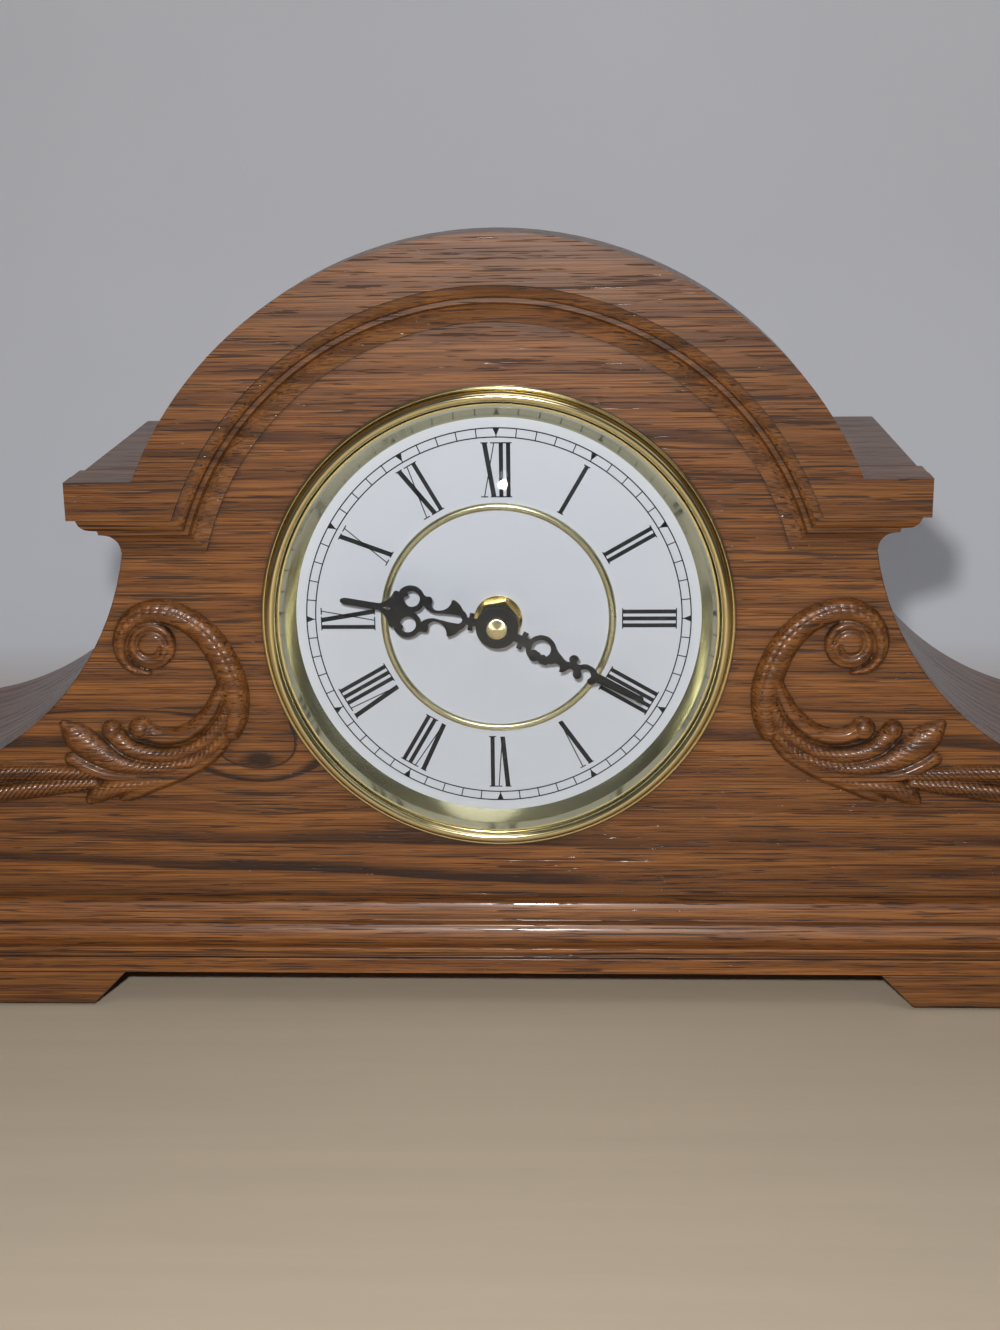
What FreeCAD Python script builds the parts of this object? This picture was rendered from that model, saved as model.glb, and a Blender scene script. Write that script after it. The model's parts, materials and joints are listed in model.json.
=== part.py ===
import FreeCAD, Part
import Sketcher
import math
import os

# Scroll-sided mantel clock with a false-front arch, in millimetres.
# X runs to the right, Y to the back, Z up; the origin is under the middle of the clock, on the surface it stands on.

doc = FreeCAD.newDocument("mantel_clock")
sheet = doc.addObject("Spreadsheet::Sheet", "sizes")
Vector = FreeCAD.Vector


class Size:
    # A number that remembers the formula it came from, so that every sketch and feature stays bound to the sheet.
    def __init__(self, value, text):
        self.value = float(value)
        self.text = text

    def __add__(self, other):
        other = as_size(other)
        return Size(self.value + other.value, f"({self.text} + {other.text})")

    def __radd__(self, other):
        return as_size(other) + self

    def __sub__(self, other):
        other = as_size(other)
        return Size(self.value - other.value, f"({self.text} - {other.text})")

    def __rsub__(self, other):
        return as_size(other) - self

    def __mul__(self, other):
        other = as_size(other)
        return Size(self.value * other.value, f"({self.text} * {other.text})")

    def __rmul__(self, other):
        return as_size(other) * self

    def __truediv__(self, other):
        other = as_size(other)
        return Size(self.value / other.value, f"({self.text} / {other.text})")

    def __neg__(self):
        return Size(-self.value, f"(-1 * {self.text})")


def as_size(number):
    return number if isinstance(number, Size) else Size(number, repr(float(number)))


def root(square):
    return Size(math.sqrt(square.value), f"sqrt({square.text})")


def sine(degrees):
    degrees = as_size(degrees)
    return Size(math.sin(math.radians(degrees.value)), f"sin({degrees.text})")


def cosine(degrees):
    degrees = as_size(degrees)
    return Size(math.cos(math.radians(degrees.value)), f"cos({degrees.text})")


def leg(hypotenuse, other_leg):
    return root(hypotenuse * hypotenuse - other_leg * other_leg)


def quarter_radius(run, rise):
    # radius of the quarter-circle arc whose ends lie run and rise apart
    return root((run * run + rise * rise) / 2)


def quarter_chords(start, end, steps=3, hollow=False):
    # points on a quarter of an oval from start to end, end included; it leaves along the first coordinate, or along
    # the second one where it is hollow
    points = []
    for step in range(1, steps):
        turn = 90 * step / steps
        first, second = (1 - cosine(turn), sine(turn)) if hollow else (sine(turn), 1 - cosine(turn))
        points.append((start[0] + (end[0] - start[0]) * first, start[1] + (end[1] - start[1]) * second))
    return points + [end]


def bind(target, setting, size):
    size = as_size(size)
    target.setExpression(setting, size.text)


class Sheet:
    def __init__(self):
        self.row = 0

    def add(self, **values):
        for alias, value in values.items():
            self.row += 1
            cell = f"A{self.row}"
            sheet.set(cell, repr(float(value)))
            sheet.setAlias(cell, alias)
            setattr(self, alias, Size(value, f"sizes.{alias}"))


dim = Sheet()

# Case
dim.add(axis_height=132.5, arch_radius=127, arch_half_width=139, ledge_rise=49.5, cornice_bottom_rise=24.5,
        sweep_radius=98.5, sweep_centre_offset=221, sweep_centre_rise=39.9,
        case_depth=122.5, base_projection=6, hood_thickness=10, panel_thickness=12,
        foot_height=12, pad_thickness=1, base_height=22, ledge_set_in=1.4,
        board_thickness=12, ply_thickness=5, back_thickness=4, back_recess=6, overrun=2, fit=0.3)
# Hood and cornice moulding, from the lower edge up: cove, fillet, ovolo, quirk
dim.add(cove_height=6.6, fillet_height=1.4, ovolo_height=4.4, cove_run=6.3, fillet_run=0.4, ovolo_run=6,
        hood_inner_radius=98.6, hood_lip=1, hood_quirk_depth=1.6, hood_ovolo_depth=3.3)
# Base moulding, from the top down
dim.add(base_slope_run=4, base_slope_drop=1, band_run=1.5, band_height=6, step_run=2, step_drop=0.6,
        base_cove_run=7.5, base_cove_height=5, nose_height=1.6, plate_height=5.5, groove_depth=1.4)
# Bracket feet and their pads
dim.add(foot_length=97, foot_return=38, foot_board=13, foot_slope=11.5, foot_pad_radius=5.5)

doc.recompute()

plane_roles = {"XY": "XY_Plane", "XZ": "XZ_Plane", "YZ": "YZ_Plane"}


def make_body(name, x=None, y=None, z=None):
    body = doc.addObject("PartDesign::Body", name)
    body.Label = name
    for axis_name, size in (("x", x), ("y", y), ("z", z)):
        if size is not None:
            bind(body, f"Placement.Base.{axis_name}", size)
    return body


def arc_between(start, end, radius):
    # a minor arc; a positive radius turns left on the way from start to end, a negative one turns right
    dx, dy = end[0] - start[0], end[1] - start[1]
    chord = math.hypot(dx, dy)
    height = math.sqrt(max(radius * radius - chord * chord / 4, 0.0))
    side = 1 if radius > 0 else -1
    centre = Vector((start[0] + end[0]) / 2 - side * dy / chord * height,
                    (start[1] + end[1]) / 2 + side * dx / chord * height, 0)
    first, last = (start, end) if radius > 0 else (end, start)
    angles = [math.atan2(point[1] - centre.y, point[0] - centre.x) for point in (first, last)]
    if angles[1] < angles[0]:
        angles[1] += 2 * math.pi
    circle = Part.Circle(centre, Vector(0, 0, 1), abs(radius))
    return Part.ArcOfCircle(circle, *angles)


def pin_point(geometry, position, point):
    # ties one point of a sketch to its formulas, measured from the sketch's origin
    ties = []
    for kind, axis, size in (("DistanceX", -2, point[0]), ("DistanceY", -1, point[1])):
        if abs(size.value) < 1e-9:
            ties.append((Sketcher.Constraint("PointOnObject", geometry, position, axis), None))
        else:
            ties.append((Sketcher.Constraint(kind, -1, 1, geometry, position, size.value), size))
    return ties


def tie(sketch, ties):
    # adds a list of constraints at once, then the formulas of those that have one
    first = sketch.ConstraintCount
    sketch.addConstraint([constraint for constraint, size in ties])
    for row, (constraint, size) in enumerate(ties):
        if size is not None:
            sketch.setExpression(f"Constraints[{first + row}]", size.text)


def loop_ties(sketch, loop):
    # a closed run of lines and arcs; a point's third entry is the radius of the arc that arrives at it
    points = [tuple(as_size(value) for value in entry) for entry in loop]
    shapes, ends, ties = [], [], []
    first = sketch.GeometryCount
    for index, point in enumerate(points):
        previous = points[index - 1]
        start = (previous[0].value, previous[1].value)
        end = (point[0].value, point[1].value)
        if len(point) == 3:
            shapes.append(arc_between(start, end, point[2].value))
            ends.append((1, 2) if point[2].value > 0 else (2, 1))
            size = point[2] if point[2].value > 0 else -point[2]
            ties.append((Sketcher.Constraint("Radius", first + index, size.value), size))
        else:
            shapes.append(Part.LineSegment(Vector(*start, 0), Vector(*end, 0)))
            ends.append((1, 2))
    sketch.addGeometry(shapes, False)
    for index, point in enumerate(points):
        following = (index + 1) % len(points)
        ties.append((Sketcher.Constraint("Coincident", first + index, ends[index][1],
                                         first + following, ends[following][0]), None))
        ties += pin_point(first + index, ends[index][1], point)
    return ties


def circle_ties(sketch, across, up, radius):
    across, up, radius = as_size(across), as_size(up), as_size(radius)
    circle = Part.Circle(Vector(across.value, up.value, 0), Vector(0, 0, 1), radius.value)
    number = sketch.addGeometry(circle, False)
    return pin_point(number, 3, (across, up)) + [(Sketcher.Constraint("Radius", number, radius.value), radius)]


def make_sketch(body, name, plane, loops=(), circles=(), offset=None):
    sketch = body.newObject("Sketcher::SketchObject", name)
    role = plane_roles[plane]
    support = [item for item in body.Origin.OriginFeatures if item.Role == role][0]
    sketch.AttachmentSupport = [(support, "")]
    sketch.MapMode = "FlatFace"
    if offset is not None:
        bind(sketch, "AttachmentOffset.Base.z", offset)
    ties = []
    for loop in loops:
        ties += loop_ties(sketch, loop)
    for circle in circles:
        ties += circle_ties(sketch, *circle)
    tie(sketch, ties)
    return sketch


def add_feature(body, kind, name, sketch, length, backward=False, both_ways=False):
    feature = body.newObject(f"PartDesign::{kind}", name)
    feature.Profile = sketch
    bind(feature, "Length", length)
    feature.Reversed = backward
    feature.Midplane = both_ways
    return feature


def add_turned(body, kind, name, sketch, axis="H_Axis"):
    feature = body.newObject(f"PartDesign::{kind}", name)
    feature.Profile = sketch
    feature.ReferenceAxis = (sketch, [axis])
    feature.Angle = 360
    return feature


def make_plate(name, front, thickness, loops=(), circles=(), rise=None, across=None):
    # a flat piece whose front face lies at Y = front; its outline is drawn in X and Z
    body = make_body(name, x=across, z=rise)
    sketch = make_sketch(body, f"{name}_outline", "XZ", loops, circles, -as_size(front))
    add_feature(body, "Pad", f"{name}_pad", sketch, thickness, backward=True)
    return body


def make_turned(name, loop, rise=None, across=None):
    # a piece turned about a line along Y; its section is drawn in Y and radius
    body = make_body(name, x=across, z=rise)
    add_turned(body, "Revolution", f"{name}_turning", make_sketch(body, f"{name}_section", "YZ", [loop]))
    return body


def make_box(name, low, high):
    box = doc.addObject("Part::Box", name)
    box.Label = name
    for side, axis_name, start, end in zip(("Length", "Width", "Height"), "xyz", low, high):
        bind(box, side, as_size(end) - start)
        bind(box, f"Placement.Base.{axis_name}", start)
    return box


turn_of = {"x": FreeCAD.Rotation(Vector(0, 1, 0), 90), "y": FreeCAD.Rotation(Vector(1, 0, 0), -90),
           "z": FreeCAD.Rotation()}


def make_rod(name, axis_name, start, length, radius):
    rod = doc.addObject("Part::Cylinder", name)
    rod.Label = name
    bind(rod, "Radius", radius)
    bind(rod, "Height", length)
    rod.Placement = FreeCAD.Placement(Vector(), turn_of[axis_name])
    for letter, size in zip("xyz", start):
        bind(rod, f"Placement.Base.{letter}", size)
    return rod


def make_ball(name, centre, radius):
    ball = doc.addObject("Part::Sphere", name)
    bind(ball, "Radius", radius)
    for letter, size in zip("xyz", centre):
        bind(ball, f"Placement.Base.{letter}", size)
    return ball


def make_cut(name, base, *tools):
    tool = tools[0] if len(tools) == 1 else make_union(f"{name}_tools", *tools)
    cut = doc.addObject("Part::Cut", name)
    cut.Label = name
    cut.Base, cut.Tool = base, tool
    return cut


def make_union(name, *pieces):
    union = doc.addObject("Part::MultiFuse", name)
    union.Label = name
    union.Shapes = list(pieces)
    return union


def make_group(name, *pieces):
    # identical pieces that share one node, each still a solid of its own
    group = doc.addObject("Part::Compound", name)
    group.Label = name
    group.Links = list(pieces)
    return group


def make_mirror(name, source, normal=Vector(1, 0, 0)):
    mirror = doc.addObject("Part::Mirroring", name)
    mirror.Label = name
    mirror.Source = source
    mirror.Normal = normal
    return mirror


nodes = []
zero = as_size(0)

# Levels along Y, from the front of the base to the back, and along Z, measured from the dial's axis
front = -(dim.case_depth + dim.base_projection) / 2
back = -front
hood_front = front + dim.base_projection
panel_front = hood_front + dim.hood_thickness
case_front = panel_front + dim.panel_thickness
underside = dim.foot_height + dim.pad_thickness
base_top = underside + dim.base_height
cornice_bottom = dim.cornice_bottom_rise
ovolo_bottom = cornice_bottom + dim.cove_height + dim.fillet_height
quirk_level = ovolo_bottom + dim.ovolo_height
end_offset = dim.sweep_centre_offset
sweep_low = dim.sweep_centre_rise - dim.sweep_radius
neck_offset = end_offset - leg(dim.sweep_radius, dim.sweep_centre_rise - cornice_bottom)


def ear_profile(outer, neck):
    # right-hand end of the cornice, from the neck up to the ledge; outer is where the ear ends
    cove_end = neck + dim.cove_run
    ovolo_start = cove_end + dim.fillet_run
    ovolo_end = ovolo_start + dim.ovolo_run
    cove_top = cornice_bottom + dim.cove_height
    return [(neck, cornice_bottom),
            (cove_end, cove_top, -quarter_radius(dim.cove_run, dim.cove_height)),
            (cove_end, cove_top + dim.fillet_height / 2),
            (ovolo_start, ovolo_bottom),
            (ovolo_end, quirk_level, quarter_radius(dim.ovolo_run, dim.ovolo_height)),
            (outer, quirk_level),
            (outer, dim.ledge_rise)]


def mirrored(points):
    # the same run of points on the left, in travelling order; an arc belongs to the point it arrives at
    flipped = []
    for index in range(len(points) - 1, -1, -1):
        point = points[index]
        following = points[index + 1] if index + 1 < len(points) else ()
        entry = (-as_size(point[0]), point[1])
        flipped.append(entry + ((following[2],) if len(following) == 3 else ()))
    return flipped


arch_foot = leg(dim.arch_radius, dim.ledge_rise)
ear = ear_profile(dim.arch_half_width, neck_offset)
arch_top = [(arch_foot, dim.ledge_rise), (-arch_foot, dim.ledge_rise, dim.arch_radius)]
panel_low = underside - dim.axis_height

# Front panel: neck, concave sides and arch in one board, with a recess for the dial and an opening for the movement
dim.add(dial_recess_radius=72.4, collar_depth=6.4,
        movement_width=56, movement_top=22, movement_bottom=-34)
side_up = [(end_offset, panel_low), (end_offset, sweep_low),
           (neck_offset, cornice_bottom, -dim.sweep_radius)]
right_side = side_up + ear[1:]
panel_outline = right_side + arch_top + mirrored(right_side)
front_panel = make_plate("front_panel", panel_front, dim.panel_thickness, [panel_outline], rise=dim.axis_height)
recess = make_sketch(front_panel, "dial_recess", "XZ", [], [(0, 0, dim.dial_recess_radius)], -panel_front)
add_feature(front_panel, "Pocket", "dial_recess_pocket", recess, dim.collar_depth + dim.fit)
opening_half = dim.movement_width / 2 + dim.fit
opening_low, opening_high = dim.movement_bottom - dim.fit, dim.movement_top + dim.fit
opening_loop = [(opening_half, opening_low), (opening_half, opening_high), (-opening_half, opening_high),
                (-opening_half, opening_low)]
opening = make_sketch(front_panel, "movement_opening", "XZ", [opening_loop], [], -panel_front)
add_feature(front_panel, "Pocket", "movement_opening_pocket", opening, dim.panel_thickness)
nodes.append(front_panel)

# Hood: the arch and ears in front of the panel, moulded along the inner edge, the underside and the ends
hood_toe = leg(dim.hood_inner_radius, cornice_bottom)
right_ear = [(hood_toe, cornice_bottom)] + ear
left_ear = mirrored(right_ear)
hood_outline = right_ear + arch_top + left_ear
hood_outline[0] = (hood_toe, cornice_bottom, -dim.hood_inner_radius)
hood = make_plate("arched_hood", hood_front, dim.hood_thickness, [hood_outline], rise=dim.axis_height)


def hood_profile(edge):
    # the moulded surface in depth and distance, from the quirk in to the inner edge; all in front of it is cut away
    quirk = edge + dim.cove_height + dim.fillet_height + dim.ovolo_height
    ovolo_end = quirk - dim.ovolo_height
    cove_start = ovolo_end - dim.fillet_height
    clear = hood_front - dim.overrun
    ovolo_depth = hood_front + dim.hood_quirk_depth + dim.hood_ovolo_depth
    cove_depth = hood_front + dim.hood_thickness - dim.hood_lip
    profile = [(clear, quirk), (clear, edge - dim.overrun), (cove_depth, edge - dim.overrun), (cove_depth, edge)]
    profile += quarter_chords((cove_depth, edge), (ovolo_depth, cove_start), hollow=True)
    profile.append((ovolo_depth, ovolo_end))
    return profile + quarter_chords((ovolo_depth, ovolo_end), (hood_front + dim.hood_quirk_depth, quirk))


arch_cut = make_sketch(hood, "hood_arch_section", "YZ", [hood_profile(dim.hood_inner_radius)])
add_turned(hood, "Groove", "hood_arch_moulding", arch_cut)
foot_cut = make_sketch(hood, "hood_underside_section", "YZ", [hood_profile(cornice_bottom)])
add_feature(hood, "Pocket", "hood_underside_moulding", foot_cut, 2 * (dim.arch_half_width + dim.overrun),
            both_ways=True)
nodes.append(hood)


# Ledge: the flat board behind the arch, and the cornices that return under its ends
ledge_half_width = dim.arch_half_width - dim.ledge_set_in
ledge_bottom = dim.ledge_rise - dim.board_thickness
axis = dim.axis_height
ledge = make_box("ledge_board", (-ledge_half_width, case_front, axis + ledge_bottom),
                 (ledge_half_width, back, axis + dim.ledge_rise))
case_length = back - case_front
cornice_ear = ear_profile(ledge_half_width, neck_offset)
cornice_outline = cornice_ear[:-1] + [(ledge_half_width, ledge_bottom), (neck_offset, ledge_bottom)]
cornice_right = make_plate("cornice_right", case_front, case_length, [cornice_outline], rise=axis)
nodes += [ledge, cornice_right, make_mirror("cornice_left", cornice_right)]

# Concave sides: bent plywood from the ledge down to the end boards
inner_sweep = dim.sweep_radius + dim.ply_thickness
inner_neck = end_offset - leg(inner_sweep, dim.sweep_centre_rise - cornice_bottom)
side_outline = [(end_offset, sweep_low), (neck_offset, cornice_bottom, -dim.sweep_radius),
                (neck_offset, ledge_bottom), (inner_neck, ledge_bottom), (inner_neck, cornice_bottom),
                (end_offset, sweep_low - dim.ply_thickness, inner_sweep)]
side_right = make_plate("curved_side_right", case_front, case_length, [side_outline], rise=axis)
nodes += [side_right, make_mirror("curved_side_left", side_right)]

# End boards and bottom board
end_right = make_box("end_board_right", (end_offset - dim.board_thickness, case_front, underside),
                     (end_offset, back, axis + sweep_low - dim.ply_thickness))
inner_end = end_offset - dim.board_thickness
bottom_board = make_box("bottom_board", (-inner_end, case_front, underside),
                        (inner_end, back, underside + dim.board_thickness))
nodes += [end_right, make_mirror("end_board_left", end_right), bottom_board]

# Base moulding: one profile, mitred at the two front corners
overhang = panel_front - front
base_half_width = end_offset + overhang


def base_profile(face, way):
    # outline of the moulding; face is the line it is fixed to and way the direction that it projects in
    band_foot = dim.base_slope_run + dim.band_run
    cove_head = band_foot + dim.step_run
    cove_foot = cove_head + dim.base_cove_run
    band_top = base_top - dim.base_slope_drop
    step_level = band_top - dim.band_height - dim.step_drop
    nose_top = step_level - dim.base_cove_height
    nose_bottom = nose_top - dim.nose_height
    plate_top = underside + dim.plate_height
    cove = quarter_radius(dim.base_cove_run, dim.base_cove_height)
    band = 3 * dim.band_height
    place = lambda run: face + run if way > 0 else face - run
    return [(face, underside), (place(overhang), underside), (place(overhang), plate_top),
            (place(overhang - dim.groove_depth), plate_top), (place(overhang - dim.groove_depth), nose_bottom),
            (place(overhang), nose_bottom), (place(overhang), nose_top), (place(cove_foot), nose_top),
            (place(cove_head), step_level, -way * cove), (place(band_foot), step_level + dim.step_drop),
            (place(dim.base_slope_run), band_top, way * band), (face, base_top)]


front_moulding = make_body("base_moulding_front")
section = make_sketch(front_moulding, "front_moulding_section", "YZ", [base_profile(panel_front, -1)])
add_feature(front_moulding, "Pad", "front_moulding_length", section, 2 * base_half_width, both_ways=True)
for way in (-1, 1):
    mitre = [(way * base_half_width, front), (way * (base_half_width + dim.overrun), front),
             (way * (base_half_width + dim.overrun), panel_front + dim.overrun),
             (way * (end_offset - dim.overrun), panel_front + dim.overrun)]
    cut = make_sketch(front_moulding, f"front_moulding_mitre_{way % 3}", "XY", [mitre])
    add_feature(front_moulding, "Pocket", f"front_moulding_cut_{way % 3}", cut, 2 * base_top, both_ways=True)
side_moulding = make_body("base_moulding_right")
section = make_sketch(side_moulding, "side_moulding_section", "XZ", [base_profile(end_offset, 1)], offset=-front)
add_feature(side_moulding, "Pad", "side_moulding_length", section, back - front, backward=True)
mitre = [(end_offset - dim.overrun, front - dim.overrun), (base_half_width + dim.overrun, front - dim.overrun),
         (end_offset - dim.overrun, panel_front + dim.overrun)]
cut = make_sketch(side_moulding, "side_moulding_mitre", "XY", [mitre])
add_feature(side_moulding, "Pocket", "side_moulding_cut", cut, 2 * base_top, both_ways=True)
nodes += [front_moulding, side_moulding, make_mirror("base_moulding_left", side_moulding)]

# Bracket feet: a long leg along the front or back and a short leg along the side, both sloped off at the end


def make_foot(name, leg_length, leg_start, side_start, way):
    # leg_start is the outer face of the long leg, side_start the end of the short leg; way is +1 towards the back
    foot = make_body(name)
    toe = base_half_width - leg_length
    long_leg = [(toe, dim.pad_thickness), (base_half_width, dim.pad_thickness), (base_half_width, underside),
                (toe - dim.foot_slope, underside)]
    sketch = make_sketch(foot, f"{name}_leg_outline", "XZ", [long_leg], offset=-leg_start)
    add_feature(foot, "Pad", f"{name}_leg", sketch, dim.foot_board, backward=way > 0)
    tip = side_start
    heel = leg_start
    short_leg = [(heel, dim.pad_thickness), (tip, dim.pad_thickness), (tip + way * dim.foot_slope, underside),
                 (heel, underside)]
    if way < 0:
        short_leg = [short_leg[1], short_leg[0], short_leg[3], short_leg[2]]
    sketch = make_sketch(foot, f"{name}_return_outline", "YZ", [short_leg], offset=base_half_width)
    add_feature(foot, "Pad", f"{name}_return", sketch, dim.foot_board, backward=True)
    return foot


foot_front = make_foot("foot_front_right", dim.foot_length, front, front + dim.foot_return, 1)
foot_back = make_foot("foot_back_right", dim.foot_return, back, back - dim.foot_return, -1)
nodes += [foot_front, make_mirror("foot_front_left", foot_front),
          foot_back, make_mirror("foot_back_left", foot_back)]

# Felt pads under the corners of the feet
pads = []
pad_offset = base_half_width - dim.foot_board / 2
for side in (-1, 1):
    for line in (front + dim.foot_board / 2, back - dim.foot_board / 2):
        pads.append(make_rod(f"pad_{len(pads)}", "z", (side * pad_offset, line, zero),
                             dim.pad_thickness, dim.foot_pad_radius))
nodes.append(make_group("foot_pads", *pads))

# Back panel: set into the case, with the doorway behind the movement
dim.add(door_half_width=50, door_top_rise=28, door_bottom_rise=-72, door_gap=0.6, cleat_size=14,
        screw_radius=1.5, screw_head_radius=3, screw_head_height=1.2, screw_length=14, screw_inset=7)
back_face = back - dim.back_recess
back_inner = back_face - dim.back_thickness
back_low = underside + dim.board_thickness + dim.fit - axis
back_end = inner_end - dim.fit
back_arc = inner_sweep + dim.fit
back_high = ledge_bottom - dim.fit
back_neck = end_offset - leg(back_arc, dim.sweep_centre_rise - cornice_bottom)
back_shoulder = dim.sweep_centre_rise - leg(back_arc, dim.board_thickness + dim.fit)
back_side = [(back_end, back_low), (back_end, back_shoulder), (back_neck, cornice_bottom, -back_arc),
             (back_neck, back_high)]
door_left, door_right = -dim.door_half_width, dim.door_half_width
doorway = [(door_left, dim.door_bottom_rise), (door_right, dim.door_bottom_rise),
           (door_right, dim.door_top_rise), (door_left, dim.door_top_rise)]
screw_places = []
for side in (-1, 1):
    screw_places += [(side * (back_end - dim.screw_inset), back_low + dim.screw_inset),
                     (side * (back_end - dim.screw_inset), back_shoulder - 2 * dim.screw_inset),
                     (side * (back_neck - dim.screw_inset), back_high - dim.screw_inset)]
screw_holes = [(across, up, dim.screw_radius) for across, up in screw_places]
back_panel = make_plate("back_panel", back_inner, dim.back_thickness,
                        [back_side + mirrored(back_side), doorway], screw_holes, rise=axis)
nodes.append(back_panel)

# Cleats glued inside the case take the screws of the back panel
cleats, screws = [], []
for index, (across, up) in enumerate(screw_places):
    half = dim.cleat_size / 2
    hole = make_rod(f"cleat_hole_{index}", "y", (across, back_inner - dim.cleat_size, axis + up),
                    dim.cleat_size, dim.screw_radius)
    block = make_box(f"cleat_block_{index}", (across - half, back_inner - dim.cleat_size, axis + up - half),
                     (across + half, back_inner, axis + up + half))
    cleats.append(make_cut(f"cleat_{index}", block, hole))
    shank = make_rod(f"screw_shank_{index}", "y", (across, back_face - dim.screw_length, axis + up),
                     dim.screw_length, dim.screw_radius)
    head = make_rod(f"screw_head_{index}", "y", (across, back_face, axis + up),
                    dim.screw_head_height, dim.screw_head_radius)
    screws.append(make_union(f"screw_{index}", shank, head))
nodes += [make_group("back_cleats", *cleats), make_group("back_screws", *screws)]

# Back door on two butt hinges at its left edge as seen from behind
dim.add(hinge_length=20, hinge_leaf_width=9, hinge_leaf_thickness=0.6, hinge_barrel_radius=1.2,
        hinge_pin_radius=0.6, hinge_play=0.05, knuckle_gap=0.2, hinge_inset=14,
        knob_radius=5, knob_height=4.5, knob_inset=10,
        catch_width=10, catch_height=20, catch_depth=8, strike_thickness=0.8)
gap = dim.door_gap
door = make_box("back_door", (door_left + gap, back_inner, axis + dim.door_bottom_rise + gap),
                (door_right - gap, back_face, axis + dim.door_top_rise - gap))
nodes.append(door)
pivot_x = door_right - gap / 2
pivot_y = back_face + dim.hinge_barrel_radius
leaves_fixed, leaves_moving, pins = [], [], []
for index, level in enumerate((dim.door_bottom_rise + dim.hinge_inset,
                               dim.door_top_rise - dim.hinge_inset - dim.hinge_length)):
    start = axis + level
    third = dim.hinge_length / 3
    bore_radius = dim.hinge_pin_radius + dim.hinge_play
    half_gap = dim.knuckle_gap / 2

    def knuckle(name, low, high):
        barrel = make_rod(f"{name}_barrel", "z", (pivot_x, pivot_y, low), high - low, dim.hinge_barrel_radius)
        bore = make_rod(f"{name}_bore", "z", (pivot_x, pivot_y, low), high - low, bore_radius)
        return make_cut(name, barrel, bore)

    def leaf(name, way, spans, notches):
        root_line = pivot_x + way * bore_radius
        tip_line = pivot_x + way * dim.hinge_leaf_width
        low_x, high_x = (root_line, tip_line) if way > 0 else (tip_line, root_line)
        plate = make_box(f"{name}_plate", (low_x, back_face, start),
                         (high_x, back_face + dim.hinge_leaf_thickness, start + dim.hinge_length))
        clear = dim.hinge_barrel_radius + dim.knuckle_gap
        inner, outer = (pivot_x, pivot_x + clear) if way > 0 else (pivot_x - clear, pivot_x)
        cuts = [make_box(f"{name}_notch_{number}", (inner, back_face, low),
                         (outer, back_face + dim.hinge_leaf_thickness, high))
                for number, (low, high) in enumerate(notches)]
        bore = make_rod(f"{name}_pin_bore", "z", (pivot_x, pivot_y, start), dim.hinge_length, bore_radius)
        flat = make_cut(f"{name}_flat", plate, *cuts, bore)
        knuckles = [knuckle(f"{name}_knuckle_{number}", low, high) for number, (low, high) in enumerate(spans)]
        return make_union(name, flat, *knuckles)

    low_span = (start, start + third - half_gap)
    mid_span = (start + third + half_gap, start + 2 * third - half_gap)
    high_span = (start + 2 * third + half_gap, start + dim.hinge_length)
    mid_notch = (start + third - half_gap, start + 2 * third + half_gap)
    low_notch = (start, start + third + half_gap)
    high_notch = (start + 2 * third - half_gap, start + dim.hinge_length)
    leaves_fixed.append(leaf(f"fixed_leaf_{index}", 1, (low_span, high_span), (mid_notch,)))
    leaves_moving.append(leaf(f"moving_leaf_{index}", -1, (mid_span,), (low_notch, high_notch)))
    pins.append(make_rod(f"pin_{index}", "z", (pivot_x, pivot_y, start), dim.hinge_length, dim.hinge_pin_radius))
nodes += [make_group("hinge_leaves_case", *leaves_fixed), make_group("hinge_leaves_door", *leaves_moving),
          make_group("hinge_pins", *pins)]

# Door knob, and the magnetic catch with its strike on the inside of the door
door_middle = (dim.door_top_rise + dim.door_bottom_rise) / 2
knob_x = door_left + gap + dim.knob_inset
knob_neck = dim.knob_radius / 2
knob_crown = back_face + dim.knob_height
knob_shoulder = (knob_crown - dim.knob_height / 4, dim.knob_radius)
knob_section = [(back_face, zero), (knob_crown, zero), (knob_crown, knob_neck)]
knob_section += quarter_chords((knob_crown, knob_neck), knob_shoulder, 2, hollow=True)
knob_section += [(back_face + dim.knob_height / 2, dim.knob_radius),
                 (back_face + dim.knob_height / 4, knob_neck), (back_face, knob_neck)]
nodes.append(make_turned("door_knob", knob_section, rise=axis + door_middle, across=knob_x))
strike_half = dim.catch_height / 2
strike = make_box("door_strike", (door_left + gap, back_inner - dim.strike_thickness, axis + door_middle - strike_half),
                  (door_left + dim.catch_width, back_inner, axis + door_middle + strike_half))
catch_front = back_inner - dim.catch_depth
catch_body = make_box("catch_body", (door_left - dim.catch_width, catch_front, axis + door_middle - strike_half),
                      (door_left, back_inner, axis + door_middle + strike_half))
catch_arm = make_box("catch_arm", (door_left, catch_front, axis + door_middle - strike_half),
                     (door_left + dim.catch_width, back_inner - dim.strike_thickness - dim.hinge_play,
                      axis + door_middle + strike_half))
nodes += [strike, make_union("magnetic_catch", catch_body, catch_arm)]

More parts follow.
